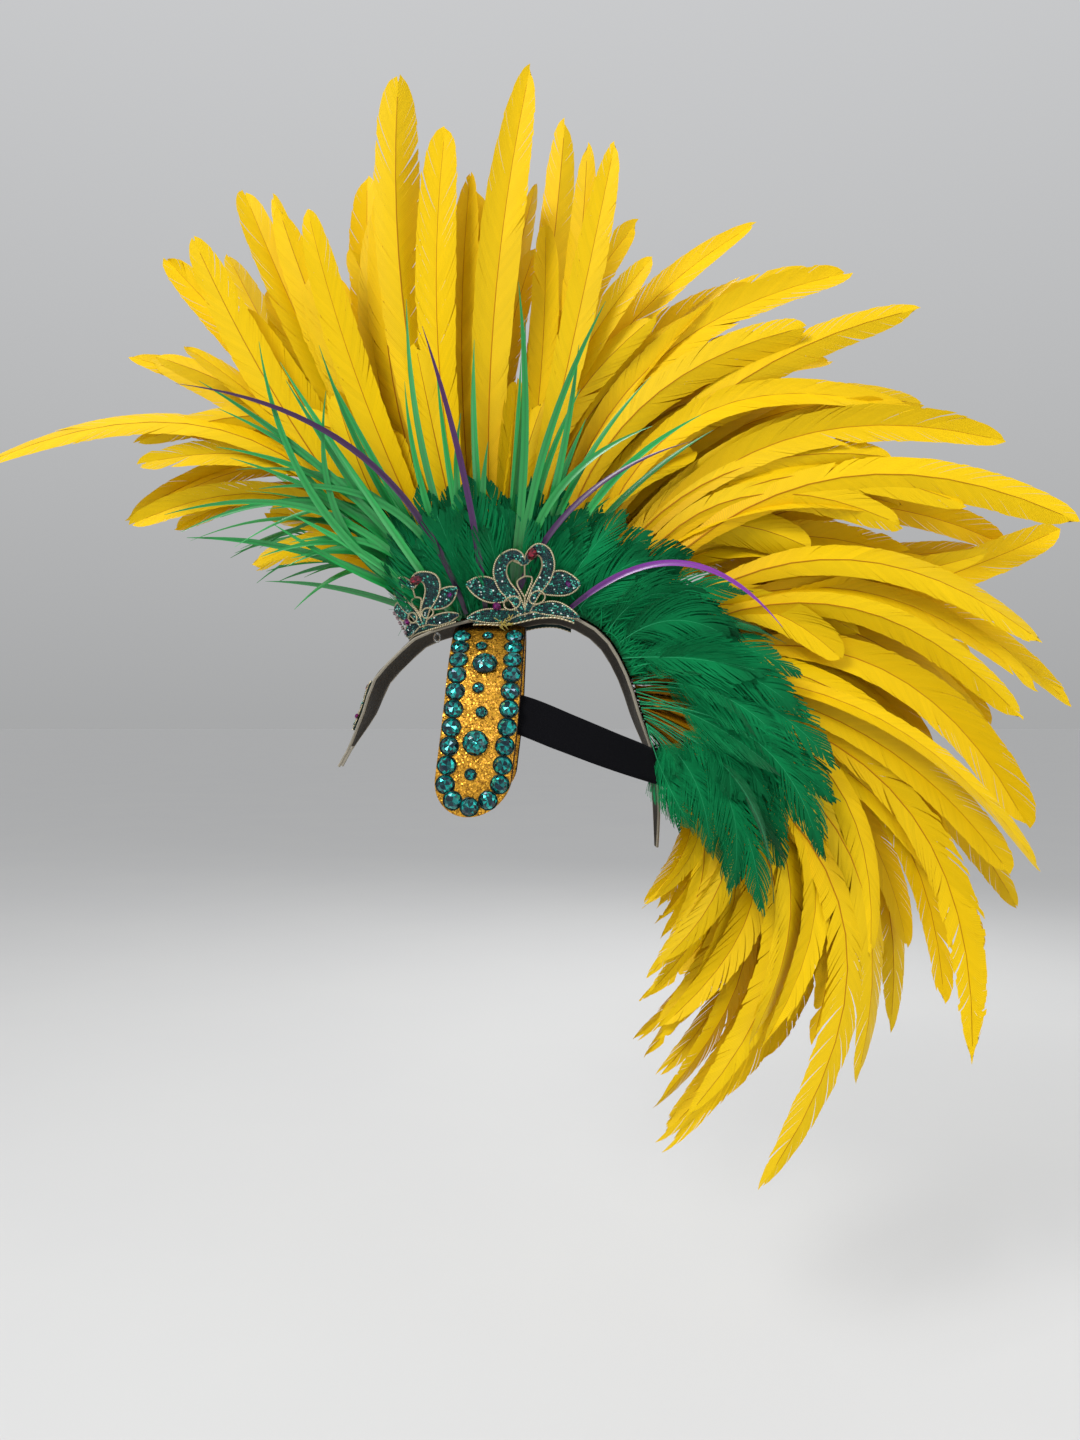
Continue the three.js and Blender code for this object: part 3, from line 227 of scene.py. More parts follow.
# Each motif's size and stand. The front foot: ahead of the crossing, share of the half width aside.
FOREHEAD_MOTIF, SIDE_MOTIF, FRONT_MOTIF = (34.0, 34.0), (75.0, 46.0), (48.0, 38.0)
SIDE_CENTRE, SIDE_CHORD, SIDE_BELOW, SIDE_LEAN = 20, 37.0, 1.5, math.radians(15)
FRONT_FOOT = [(21, 1.16), (37, 1.1), (48, 0.84), (54, 0.4)]
FRONT_LEAN, FOREHEAD_FOOT = math.radians(24), 12

# The stage, in metres. Lights: name, place, size, watts.
FLOOR_HALF, FLOOR_HEIGHT = 60.0, -0.56
LIGHTS = [
    ("key", (-1.0, -1.5, 1.3), 0.8, 34.0), ("fill", (1.5, -1.3, 0.3), 1.6, 9.0),
    ("rim", (0.6, 1.5, 1.2), 1.2, 20.0),
]
LIGHT_AIM = np.array([0.03, 0.0, 0.0])
EYE, LENS, SENSOR, NEAREST = (0.0306, -0.74, -0.0646), 27.1, 36.0, 0.01


def spline(points, count):
    """Line through the points: on each span a cubic whose end slopes weigh the neighbouring points by the
    square roots of their distances. Returns count + 1 places."""
    inner = np.asarray(points, float)
    p = np.vstack([2 * inner[0] - inner[1], inner, 2 * inner[-1] - inner[-2]])
    u = np.linspace(0, len(inner) - 1, count + 1)
    i = np.minimum(u.astype(int), len(inner) - 2)
    w = (u - i)[:, None]
    p0, p1, p2, p3 = p[i], p[i + 1], p[i + 2], p[i + 3]
    d0, d1, d2 = (np.sqrt(np.linalg.norm(b - a, axis=1))[:, None] for a, b in ((p0, p1), (p1, p2), (p2, p3)))
    t1 = ((p1 - p0) / d0 - (p2 - p0) / (d0 + d1) + (p2 - p1) / d1) * d1
    t2 = ((p2 - p1) / d1 - (p3 - p1) / (d1 + d2) + (p3 - p2) / d2) * d1
    cubic = 2 * p1 - 2 * p2 + t1 + t2
    return p1 + t1 * w + (-3 * p1 + 3 * p2 - 2 * t1 - t2) * w**2 + cubic * w**3


def lengths(points):
    """Distance covered up to each of the points."""
    steps = np.linalg.norm(np.diff(points, axis=0), axis=1)
    return np.concatenate([[0.0], np.cumsum(steps)])


def place_on(line, run, distance):
    """The line's place at a distance along it: its points, read between its neighbours by the run covered."""
    return np.stack([np.interp(distance, run, line[:, k]) for k in range(line.shape[1])], axis=-1)


def unit(vectors):
    """Each vector divided by its length."""
    return vectors / np.linalg.norm(vectors, axis=-1, keepdims=True)


def ease(x, low, high):
    """A smooth step from 0 at low to 1 at high: 3t^2 - 2t^3."""
    t = np.clip((x - low) / (high - low), 0, 1)
    return t * t * (3 - 2 * t)


reach = np.where(CROWN_SECTIONS[:, 0] < 0, FRONT_REACH, BACK_REACH)
fall = np.where(CROWN_SECTIONS[:, 0] < 0, FRONT_DROP, BACK_DROP)
CROWN = spline(np.column_stack([
    CROWN_SECTIONS[:, 0] * reach, CROWN_EDGE_Z - CROWN_SECTIONS[:, 1] * fall, CROWN_SECTIONS[:, 2],
]), CROWN_STEPS)
CROWN_RUN = lengths(CROWN[:, :2])
CROWN_LENGTH = CROWN_RUN[-1]


def crown_at(share):
    """The crown band's line at a share of its length: x, z, half width, and the normal, a quarter turn of the
    chord between the places one slope reach before and after."""
    run = np.clip(np.asarray(share, float), 0, 1) * CROWN_LENGTH
    x, z, width = (np.interp(run, CROWN_RUN, CROWN[:, k]) for k in range(3))
    (x0, z0), (x1, z1) = (
        (np.interp(r, CROWN_RUN, CROWN[:, 0]), np.interp(r, CROWN_RUN, CROWN[:, 1]))
        for r in (np.maximum(run - SLOPE_REACH, 0), np.minimum(run + SLOPE_REACH, CROWN_LENGTH))
    )
    size = np.hypot(x1 - x0, z1 - z0)
    return x, z, width * BAND_HALF, -(z1 - z0) / size, (x1 - x0) / size


def crown_point(share, y, lift):
    """A point over the crown band: the line's place, moved along its normal by the lift and by a camber that
    falls with the square of the sideways place."""
    x, z, half, nx, nz = crown_at(share)
    v = np.clip(y / half, -1, 1)
    rise = lift + BAND_CAMBER * (half / BAND_HALF) * (1 - v * v)
    return np.stack(np.broadcast_arrays(x + nx * rise, y, z + nz * rise), axis=-1)


def crown_share(test):
    """Share of the crown band's length, from its front tip, at the first place that passes the test."""
    return CROWN_RUN[np.argmax(test(CROWN[:, 0], CROWN[:, 1]))] / CROWN_LENGTH


CREST_START = crown_share(lambda x, z: x > -CREST_AHEAD)
CREST_END = crown_share(lambda x, z: (x > 0) & (z < CROWN_EDGE_Z - CREST_FALL))


def crest_share(root):
    """Share of the crown band's length at a feather's root share: from the crest's start to its end."""
    return CREST_START + (CREST_END - CREST_START) * root


CREST_BASE = crown_point(crest_share(np.linspace(0, 1, BASE_STEPS + 1)), 0.0, BAND_WALL + SEAT_GAP)[:, [0, 2]]


def lane_place(lane, places):
    """How far aside a feather's line lies: its lane, spread by the distance from the crest's base, the outer
    lanes by a little more."""
    away = np.linalg.norm(places[..., None, :] - CREST_BASE, axis=-1).min(axis=-1)
    spread = LANE_SPREAD + OUTER_SPREAD * ease(np.abs(lane), *OUTER_LANES)
    return lane * (1 + spread * away / CREST_REACH)


class Mesh:
    """Collects grids, tubes and faceted shapes in millimetres, and makes one mesh object of them."""

    def __init__(self):
        self.points, self.faces, self.values, self.facets, self.count = [], [], {}, [], 0

    def add(self, points, faces, facets=None, **values):
        """points: (..., 3); faces: arrays of corner numbers, one for each corner count; facets: a function
        that gives each face its number; values: an attribute's number at each point."""
        flat = points.reshape(-1, 3)
        for face in faces:
            self.faces.append(face + self.count)
            if facets is not None:
                self.facets.append(facets(len(face)))
        for key in {**self.values, **values}:
            held = self.values.setdefault(key, [np.zeros(self.count)] if self.count else [])
            value = np.broadcast_to(values.get(key, 0.0), points.shape[:-1]).reshape(-1)
            held.append(value.astype(float))
        self.points.append(flat)
        self.count += len(flat)

    def grids(self, points, ring=False, outward=False, caps=False, **values):
        """points: (grids, rows, columns, 3); neighbouring points make four-sided faces. A ring closes the
        columns, and caps close the first and last rows."""
        m, r, c = points.shape[:3]
        ids = np.arange(m * r * c).reshape(m, r, c)
        wide = np.concatenate([ids, ids[:, :, :1]], axis=2) if ring else ids
        quads = np.stack([wide[:, :-1, :-1], wide[:, :-1, 1:], wide[:, 1:, 1:], wide[:, 1:, :-1]], axis=-1)
        faces = [quads.reshape(-1, 4)]
        if caps:
            faces += [ids[:, 0, ::-1], ids[:, -1, :]]
        self.add(points, turned_out(points, faces) if outward else faces, **values)

    def solid(self, points, faces, rng):
        """Closed cut shapes: faces turned outwards, each with a random number of its own."""
        self.add(points, turned_out(points, faces), facets=rng.random)

    def mirror(self, side):
        """Turns the shapes over to the other side where side is negative, and their faces with them."""
        self.points = [mirrored(points, side) for points in self.points]
        if side < 0:
            self.faces = [face[:, ::-1] for face in self.faces]

    def make(self, name, material, slot, replaces=(), smooth=True):
        """Puts the arrays into a mesh with foreach_set, and lets the object ride on the frame."""
        mesh = bpy.data.meshes.new(name)
        places = np.concatenate(self.points) * MM
        sizes = np.concatenate([np.full(len(face), face.shape[1]) for face in self.faces])
        loops = np.concatenate([face.reshape(-1) for face in self.faces])
        mesh.vertices.add(len(places))
        mesh.vertices.foreach_set("co", places.astype(np.float32).ravel())
        mesh.loops.add(len(loops))
        mesh.loops.foreach_set("vertex_index", loops.astype(np.int32))
        mesh.polygons.add(len(sizes))
        starts = np.concatenate([[0], np.cumsum(sizes)[:-1]])
        mesh.polygons.foreach_set("loop_start", starts.astype(np.int32))
        mesh.polygons.foreach_set("use_smooth", np.full(len(sizes), smooth))
        for key, held in self.values.items():
            layer = mesh.attributes.new(key, "FLOAT", "POINT")
            layer.data.foreach_set("value", np.concatenate(held).astype(np.float32))
        if self.facets:
            layer = mesh.attributes.new("facet", "FLOAT", "FACE")
            layer.data.foreach_set("value", np.concatenate(self.facets).astype(np.float32))
        mesh.update(calc_edges=True)
        mesh.validate()
        piece = bpy.data.objects.new(name, mesh)
        bpy.context.scene.collection.objects.link(piece)
        mesh.materials.append(material)
        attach(piece, BODY)
        if replaces:
            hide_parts(*replaces)
        return piece


def enclosed(points, faces):
    """Signed volume: the sum over the faces' fans of triangles of the triple product of their corners."""
    total = 0.0
    for face in faces:
        a = points[face[:, 0]]
        for k in range(1, face.shape[1] - 1):
            total += np.einsum("ij,ij->", a, np.cross(points[face[:, k]], points[face[:, k + 1]]))
    return total


def turned_out(points, faces):
    """The faces, each in the other turn if the volume that they enclose comes out negative."""
    return [face[:, ::-1] for face in faces] if enclosed(points.reshape(-1, 3), faces) < 0 else faces


def mirrored(points, side):
    """The points with y times the side's sign."""
    return points * np.array([1.0, side, 1.0])


def shaded(colour, share):
    """The colour with each part times the share."""
    return tuple(share * c for c in colour)


def band_loop(across_steps, round_share):
    """Section of a flat band as a ring of (across, through) shares: both faces, and at each edge three points
    whose middle one stands furthest out."""
    v = np.linspace(-1 + round_share, 1 - round_share, across_steps)
    under = [(a, 0.0) for a in v]
    over = [(a, 1.0) for a in v[::-1]]
    bulge = round_share * 0.3
    right = [(1 - bulge, 0.15), (1.0, 0.5), (1 - bulge, 0.85)]
    left = [(-a, 1 - b) for a, b in right]
    return np.array(under + right + over + left)


def tube(line, radius, sides):
    """A round section carried along lines (tubes, rows, 3): each ring stands across the line's slope."""
    along = unit(np.gradient(line, axis=1))
    guide = np.where(np.abs(along[..., 1:2]) > 0.9, [[[1.0, 0.0, 0.0]]], [[[0.0, 1.0, 0.0]]])
    first = unit(np.cross(along, guide))
    second = np.cross(along, first)
    angle = np.linspace(0, 2 * np.pi, sides, endpoint=False)[:, None]
    radius = np.asarray(radius, float)[..., None, None]
    ring = np.cos(angle) * first[:, :, None, :] + np.sin(angle) * second[:, :, None, :]
    return line[:, :, None, :] + radius * ring


class Finish:
    """A node material on one Principled shader; each method adds a node and returns its output."""

    def __init__(self, name, **sockets):
        self.material = bpy.data.materials.new(name)
        self.material.use_nodes = True
        self.tree = self.material.node_tree
        self.shader = self.tree.nodes["Principled BSDF"]
        self.set(**sockets)

    def set(self, **sockets):
        for key, value in sockets.items():
            self.put(self.shader.inputs[key.replace("_", " ")], value)
        return self

    def put(self, socket, value):
        if isinstance(value, bpy.types.NodeSocket):
            self.tree.links.new(value, socket)
        elif socket.type == "RGBA":
            socket.default_value = (*value[:3], 1.0)
        else:
            socket.default_value = value

    def node(self, kind, inputs, output=0, **settings):
        made = self.tree.nodes.new(kind)
        for key, value in settings.items():
            setattr(made, key, value)
        for key, value in inputs.items():
            self.put(made.inputs[key], value)
        return made.outputs[output]

    def attribute(self, name):
        return self.node("ShaderNodeAttribute", {}, "Fac", attribute_name=name)

    def math(self, operation, a, b=0.0):
        return self.node("ShaderNodeMath", {0: a, 1: b}, operation=operation)

    def spread(self, value, low, high, to_low=0.0, to_high=1.0):
        inputs = {"Value": value, "From Min": low, "From Max": high, "To Min": to_low, "To Max": to_high}
        return self.node("ShaderNodeMapRange", inputs)

    def mix(self, share, a, b, blend="MIX"):
        inputs = {0: share, 6: a, 7: b}
        return self.node("ShaderNodeMix", inputs, 2, data_type="RGBA", blend_type=blend)

    def times(self, colour, *shares):
        """The colour multiplied by each share in turn."""
        for share in shares:
            colour = self.mix(1.0, colour, share, "MULTIPLY")
        return colour

    def place(self):
        return self.node("ShaderNodeTexCoord", {}, "Object")

    def noise(self, scale, detail=3.0, rough=0.55):
        inputs = {"Vector": self.place(), "Scale": scale, "Detail": detail, "Roughness": rough}
        return self.node("ShaderNodeTexNoise", inputs, "Fac")

    def cells(self, scale, output="Color"):
        return self.node("ShaderNodeTexVoronoi", {"Vector": self.place(), "Scale": scale}, output)

    def bump(self, height, strength, distance):
        inputs = {"Strength": strength, "Distance": distance, "Height": height}
        return self.set(Normal=self.node("ShaderNodeBump", inputs, "Normal"))

    def tilt(self, colour, share):
        """Turns the normal: adds a random colour, taken about its middle, times the share."""
        about = self.node("ShaderNodeVectorMath", {0: colour, 1: (0.5, 0.5, 0.5)}, operation="SUBTRACT")
        turn = self.node("ShaderNodeVectorMath", {0: about, "Scale": share}, operation="SCALE")
        flat = self.node("ShaderNodeNewGeometry", {}, "Normal")
        turned = self.node("ShaderNodeVectorMath", {0: flat, 1: turn}, operation="ADD")
        return self.set(Normal=self.node("ShaderNodeVectorMath", {0: turned}, operation="NORMALIZE"))


def colour_property(name, description, default):
    """A colour that the user can change."""
    return bpy.props.FloatVectorProperty(
        name=name, description=description, subtype="COLOR", size=3, min=0.0, max=1.0, default=default
    )


class HeaddressFeathers(bpy.types.PropertyGroup):
    """Counts and colours of the feathers."""

    barbs: bpy.props.IntProperty(
        name="Barbs", description="Barb strips on each side of a tail feather", default=74, min=20, max=120
    )
    fill: bpy.props.IntProperty(
        name="Fill", description="Shorter feathers between two listed ones", default=4, min=0, max=5
    )
    plume_copies: bpy.props.IntProperty(
        name="Plume copies", description="Plumes at each listed place", default=5, min=1, max=8
    )
    down: bpy.props.IntProperty(
        name="Down", description="Single barbs of down over the front of each side", default=3200, min=0,
        max=6000
    )
    biot_copies: bpy.props.IntProperty(
        name="Biot copies", description="Thin biots at each listed place", default=3, min=1, max=6
    )
    yellow: colour_property("Yellow", "Colour of the tail feathers", (0.87, 0.57, 0.0))
    amber: colour_property("Amber", "Colour of the tail feathers' roots and quills", (0.82, 0.4, 0.0))
    green: colour_property("Green", "Colour of the plumes", (0.0, 0.22, 0.065))
    leaf: colour_property("Leaf green", "Colour of the thin biots", (0.01, 0.32, 0.06))
    purple: colour_property("Purple", "Colour of the purple biots", (0.17, 0.015, 0.26))


class HeaddressBands(bpy.types.PropertyGroup):
    """Colours of the bands and the strap."""

    felt: colour_property("Felt", "Colour of the crown band", (0.026, 0.021, 0.014))
    binding: colour_property("Binding", "Colour of the crown band's wired edges", (0.3, 0.27, 0.21))
    gold: colour_property("Gold", "Colour of the glitter cloth", (0.66, 0.25, 0.01))
    black: colour_property("Black", "Colour of the velvet strap", (0.004, 0.004, 0.005))


class HeaddressStones(bpy.types.PropertyGroup):
    """Sizes and colours of the stones and beads."""

    edge_diameter: bpy.props.FloatProperty(
        name="Edge stone", description="Diameter of the stones along the cross band's edge",
        default=11.3 * MM, min=0.008, max=0.0115, unit="LENGTH"
    )
    bead_diameter: bpy.props.FloatProperty(
        name="Bead", description="Diameter of the motifs' beads", default=1.35 * MM, min=0.001, max=0.003,
        unit="LENGTH"
    )
    teal: colour_property("Teal", "Bright colour of the stones", (0.0, 0.46, 0.41))
    depth: colour_property("Deep teal", "Dark colour of the stones", (0.0, 0.018, 0.032))


def drawn_in(rows, share, reach):
    """The rows with each tip moved to root + share * (tip - root)."""
    made = rows.copy()
    root = crown_point(crest_share(rows[:, 0]), 0.0, BAND_WALL)[:, [0, 2]] / reach
    made[:, 1:3] = root + (rows[:, 1:3] - root) * share[:, None]
    return made


def jittered(rows, extra, rng, shares, reach):
    """The listed rows, and then some between each two of them: a blend of both, with the tip drawn in to a
    random share, and a random bow and width."""
    made = [rows]
    for _ in range(extra):
        t = rng.uniform(*FILL_BLENDS, len(rows) - 1)[:, None]
        mid = rows[:-1] * (1 - t) + rows[1:] * t
        mid = drawn_in(mid, rng.uniform(*shares, len(mid)), reach)
        mid[:, 3] += rng.normal(0, FILL_BOWS, len(mid))
        mid[:, 4] *= rng.uniform(*FILL_WIDTHS, len(mid))
        mid[:, 4] *= FILL_NARROWER
        made.append(mid)
    return np.concatenate(made)


def feather_lines(rows, lanes, tip_reach, inset):
    """Start, middle and tip of each feather's line: the middle stands off the chord by twice the bow times
    the chord."""
    start = crown_point(crest_share(rows[:, 0]), lanes, BAND_WALL + SEAT_GAP + inset)[:, [0, 2]]
    tip = rows[:, 1:3] * tip_reach
    chord = tip - start
    aside = np.column_stack([-chord[:, 1], chord[:, 0]]) * 2 * rows[:, 3:4]
    return start, (start + tip) / 2 + aside, tip


def on_lines(lines, t):
    """Place and quarter-turned slope at t (feathers, ...) of the lines (1-t)^2 a + 2t(1-t) b + t^2 c."""
    shape = (len(t),) + (1,) * (t.ndim - 1) + (2,)
    a, b, c = (q.reshape(shape) for q in lines)
    s = t[..., None]
    place = (1 - s) ** 2 * a + 2 * s * (1 - s) * b + s**2 * c
    slope = unit(2 * (1 - s) * (b - a) + 2 * s * (c - b))
    return place, np.stack([-slope[..., 1], slope[..., 0]], axis=-1)


def aside_table(lines, lanes):
    """Sideways place at even steps along each feather's line."""
    t = np.broadcast_to(np.linspace(0, 1, LINE_STEPS + 1), (len(lanes), LINE_STEPS + 1))
    return lane_place(lanes[:, None], on_lines(lines, t)[0])


def look_up(table, t):
    """Reads the table of each feather between its steps."""
    at = np.clip(t, 0, 1) * LINE_STEPS
    low = np.minimum(at.astype(int), LINE_STEPS - 1)
    index = np.arange(len(table)).reshape((-1,) + (1,) * (t.ndim - 1))
    return table[index, low] + (table[index, low + 1] - table[index, low]) * (at - low)


def barb_lines(rows, look, span, rng):
    """For the two barbs beside each strip of the vane: where they start on the quill and end on the vane's
    outline, as shares of the line, and the half width there. The ends stand closer together towards the tip,
    a barb's start lies its half width over the tangent of its lean before its end, and the outline is a
    random blend of a sharp and a blunt one."""
    bare = np.interp(rows[:, 0], *look["bare"])[:, None]
    ends = bare + (1 - bare) * (1 - (1 - np.linspace(0, 1, look["barbs"] + 1)) ** look["crowding"])
    outlines = (spline(look[key], OUTLINE_STEPS) for key in ("sections", "blunt"))
    sharp, blunt = (np.interp(ends, outline[:, 0], outline[:, 1]) for outline in outlines)
    share = rng.random(len(rows))[:, None] ** BLUNT_POWER * look["blunt_share"](rows[:, 0:1])
    half = (sharp + (blunt - sharp) * share) * (rows[:, 4] * look["width"] / 2)[:, None]
    lean = np.radians(look["lean"] - look["lean_tip"] * ends)
    roots = np.maximum(ends - half / np.tan(lean) / span[:, None], bare * LOWEST_ROOT)
    pairs = np.stack([np.arange(look["barbs"]), np.arange(1, look["barbs"] + 1)], axis=-1)
    return roots[:, pairs], ends[:, pairs], half[:, pairs], pairs


def add_feathers(mesh, rows, lanes, look, rng, frays=1.0):
    """Vanes and quills. A barb starts on the quill, leans towards the tip and ends on the vane's outline;
    each strip of the vane lies between two barbs. A few strips in a row slide and lift together, by the
    square of the way out, which opens splits; the vane is turned about its quill, twisted and cupped."""
    lines = feather_lines(rows, lanes, look["reach"], ROOT_HEIGHT)
    table = aside_table(lines, lanes)
    count, steps = len(rows), look["steps"]
    span = np.linalg.norm(lines[2] - lines[0], axis=1)
    roots, ends, halves, pairs = barb_lines(rows, look, span, rng)
    shape, longer = (count, 2, len(pairs)), (count, 2, len(pairs) + 1)
    groups = np.cumsum(rng.random(shape) < look["split"], axis=2)

    def by_group(values):
        """One of the values for each strip: that of its group."""
        return np.take_along_axis(values, groups, axis=2)

    slide, lift = (by_group(rng.normal(0, 1, longer)) for _ in range(2))
    fray = np.broadcast_to(frays, count)
    trim = 1 + rng.normal(0, 1, shape) * look["ragged"] * fray[:, None, None]
    tone = rng.random(shape) * (1 - GROUP_TONE) + by_group(rng.random(longer)) * GROUP_TONE
    own = rng.random(count)

    f = np.linspace(0, 1, steps + 1)[:, None]
    t = roots[:, None, :, None, :] * (1 - f) + ends[:, None, :, None, :] * f
    middle = t.mean(axis=-1, keepdims=True)
    t = middle + (t - middle) * (OVERLAP - look["taper"] * f)
    slide = (slide * look["slide"] * (fray / span)[:, None, None])[..., None, None]
    t = np.maximum(t + slide * f**2, LOWEST_SHARE)
    arch = (1 + look["arch"]) * f - look["arch"] * f**2
    out = halves[:, None, :, None, :] * arch * trim[..., None, None]
    flat = np.array([1.0, -1.0]).reshape(1, 2, 1, 1, 1) * out
    turn, twist = (rng.normal(0, look[key], count).reshape(-1, 1, 1, 1, 1) for key in ("roll", "twist"))
    roll = turn + twist * t
    hollow = rng.choice([-1.0, 1.0], count).reshape(-1, 1, 1, 1, 1)
    cup = hollow * (look["cup"] * (out / look["width"] * 2) ** 2 + look["fold"] * out)
    depth = look_up(table, t) + flat * np.sin(roll) + cup + lift[..., None, None] * look["lift"] * f**2
    flat = flat * np.cos(roll)
    place, normal = on_lines(lines, t)
    x, z = (place[..., k] + normal[..., k] * flat for k in range(2))

    def strips(values):
        """The values spread to every point of every strip."""
        return (values + np.zeros(t.shape)).reshape(-1, steps + 1, 2)

    shade = tone[..., None, None] * 0.6 + own[:, None, None, None, None] * 0.4
    mesh.grids(
        np.stack([x, depth, z], -1).reshape(-1, steps + 1, 2, 3), tone=strips(shade), along=strips(t),
        comb=strips(pairs[:, None]),
    )
    add_quills(mesh, lines, table, look["quill"] * np.sqrt(rows[:, 4:5]), look["quill_end"], own)


def add_quills(mesh, lines, table, radius, end, own):
    """Quills: four-sided tubes along the feathers' lines, tapering evenly to a fifth of their radius."""
    t = np.broadcast_to(np.linspace(0, end, QUILL_STEPS), (len(own), QUILL_STEPS))
    place, _ = on_lines(lines, t)
    spine = np.stack([place[..., 0], look_up(table, t), place[..., 1]], -1)
    mesh.grids(
        tube(spine, radius * (1 - 0.8 * t), 4), ring=True, caps=True, outward=True, quill=1.0,
        along=t[..., None] + np.zeros(4), tone=own[:, None, None] + np.zeros((1, QUILL_STEPS, 4)),
    )


def vane_finish(name, tip, base, quill, streak, dusk=1.0, **sockets):
    """Dyed vane: base colour towards the root, dusk as a share of the light at the tip, painted shade at the
    foot where the feathers crowd onto the band, tone by barb, fine lines along the barbs, a darker quill."""
    paint = Finish(name, Specular_IOR_Level=0.15, Sheen_Roughness=0.4, **sockets)
    along = paint.attribute("along")
    wave = paint.math("SINE", paint.math("MULTIPLY", paint.attribute("comb"), 2 * math.pi * 3))
    colour = paint.times(
        paint.mix(paint.spread(along, 0.0, 0.5), base, tip),
        paint.spread(along, 0.65, 1.0, 1.0, dusk),
        # Painted shade: the foot darkens to 0.4 where the feathers crowd together on the band.
        paint.spread(along, 0.02, 0.15, 0.4, 1.0),
        paint.spread(paint.attribute("tone"), 0.0, 1.0, 1 - streak * 1.3, 1 + streak * 0.7),
        paint.spread(wave, -1.0, 1.0, 1 - streak, 1.0),
    )
    paint.set(Base_Color=paint.mix(paint.attribute("quill"), colour, quill))
    return paint.bump(wave, 0.2, 0.0003).material


class HEADDRESS_OT_crest(bpy.types.Operator):
    """Adds the yellow tail feathers of the five stretches of the crest."""

    bl_idname = "headdress.crest"
    bl_label = "Crest"

    def execute(self, context):
        sizes = context.scene.headdress_feathers
        rng = np.random.default_rng(11)
        look = {
            "reach": CREST_REACH, "width": BLADE_WIDTH, "sections": BLADE_SECTIONS, "blunt": BLUNT_SECTIONS,
            "blunt_share": lambda root: 1 - ease(root, 0.8, 0.93), "bare": ((0.0, 1.0), (0.04, 0.04)),
            "barbs": sizes.barbs, "crowding": 1.25, "steps": 3, "lean": 40.0, "lean_tip": 14.0,
            "split": 0.045, "slide": 2.0, "lift": 0.5, "ragged": 0.02, "taper": 0.0, "arch": 0.25,
            "roll": 0.3, "twist": 0.35, "cup": 2.0, "fold": 0.3, "quill": 0.75, "quill_end": 0.97,
        }
        amber = sizes.amber
        quill = (amber[0] * 0.6, amber[1] * 0.5, amber[2])
        material = vane_finish(
            "yellow_feather", sizes.yellow, amber, quill, 0.13, Roughness=0.5, Sheen_Weight=0.03
        )
        listed = np.arange(len(CREST_FEATHERS))
        rows = jittered(CREST_FEATHERS, sizes.fill, rng, FILL_REACH, CREST_REACH)
        short = jittered(CREST_FEATHERS, SHORT_FILL, rng, SHORT_REACH, CREST_REACH)[len(listed):]
        rows = np.concatenate([rows, short])
        lanes = rng.permutation(np.linspace(-FILL_LANE, FILL_LANE, len(rows)))
        lanes[listed] = (listed * LANE_STRIDE % LANE_COUNT - LANE_COUNT // 2) * LANE_STEP
        frays = 1 + NAPE_FRAY * ease(rows[:, 0], *NAPE)
        frays[FRAYED_FEATHER] = FRAY
        for name, low, high in CREST_STRETCHES:
            mesh = Mesh()
            mine = (rows[:, 0] >= low) & (rows[:, 0] < high)
            add_feathers(mesh, rows[mine], lanes[mine], look, rng, frays[mine])
            mesh.make(f"{name}_feathers", material, "yellow_feather", [name])
        return {"FINISHED"}


class HEADDRESS_OT_plumage(bpy.types.Operator):
    """Adds the green plumes of both sides, front and back."""

    bl_idname = "headdress.plumage"
    bl_label = "Plumage"

    def execute(self, context):
        sizes = context.scene.headdress_feathers
        rng = np.random.default_rng(23)
        look = {
            "reach": PLUME_REACH, "width": PLUME_WIDTH * 1.3, "sections": PLUME_SECTIONS,
            "blunt": PLUME_SECTIONS, "blunt_share": np.zeros_like,
            "bare": ((0.0, 0.55, 0.68, 0.8, 0.92), (0.06, 0.08, 0.15, 0.34, 0.55)),
            "barbs": 60, "crowding": 1.0, "steps": 4, "lean": 36.0, "lean_tip": 14.0,
            "split": 0.2, "slide": 2.6, "lift": 0.9, "ragged": 0.1, "taper": 0.3, "arch": 0.4,
            "roll": 0.4, "twist": 0.4, "cup": 2.5, "fold": 0.12, "quill": 0.4, "quill_end": 0.9,
        }
        green = sizes.green
        quill = (0.02, green[1] * 1.5, green[2] * 2.0)
        material = vane_finish(
            "green_plume", green, shaded(green, 0.6), quill, 0.14, 0.5, Roughness=0.9, Sheen_Weight=0.08
        )
        for side, sign in SIDES.items():
            rows = np.repeat(PLUMES, sizes.plume_copies, axis=0)
            first = np.arange(len(rows)) % sizes.plume_copies == 0
            rows = drawn_in(rows, np.where(first, 1.0, rng.uniform(*COPY_REACH, len(rows))), PLUME_REACH)
            rows[:, 1] += np.where(first, 0.0, rng.normal(0, COPY_SWAY, len(rows)))
            rows[:, 3] += np.where(first, 0.0, rng.normal(0, COPY_BOW, len(rows)))
            rows[:, 0] = np.clip(rows[:, 0] + rng.uniform(-ROOT_SPREAD, ROOT_SPREAD, len(rows)), *PLUME_ROOTS)
            order = np.arange(len(rows))
            lanes = -(PLUME_LANE + order * PLUME_STRIDE % PLUME_LANE_COUNT * PLUME_LANE_STEP)
            for name, low, high in PLUME_STRETCHES:
                mesh = Mesh()
                mine = (rows[:, 0] >= low) & (rows[:, 0] < high)
                add_feathers(mesh, rows[mine], lanes[mine], look, rng)
                mesh.mirror(sign)
                mesh.make(f"{name}_{side}_plumes", material, "green_feather", [f"{name}_{side}"])
            down = Mesh()
            for low, high, part, tall in DOWN_PATCHES:
                add_down(down, low, high, sizes.down // part, tall, rng)
            down.mirror(sign)
            down.make(f"down_{side}", material, "green_feather")
        return {"FINISHED"}


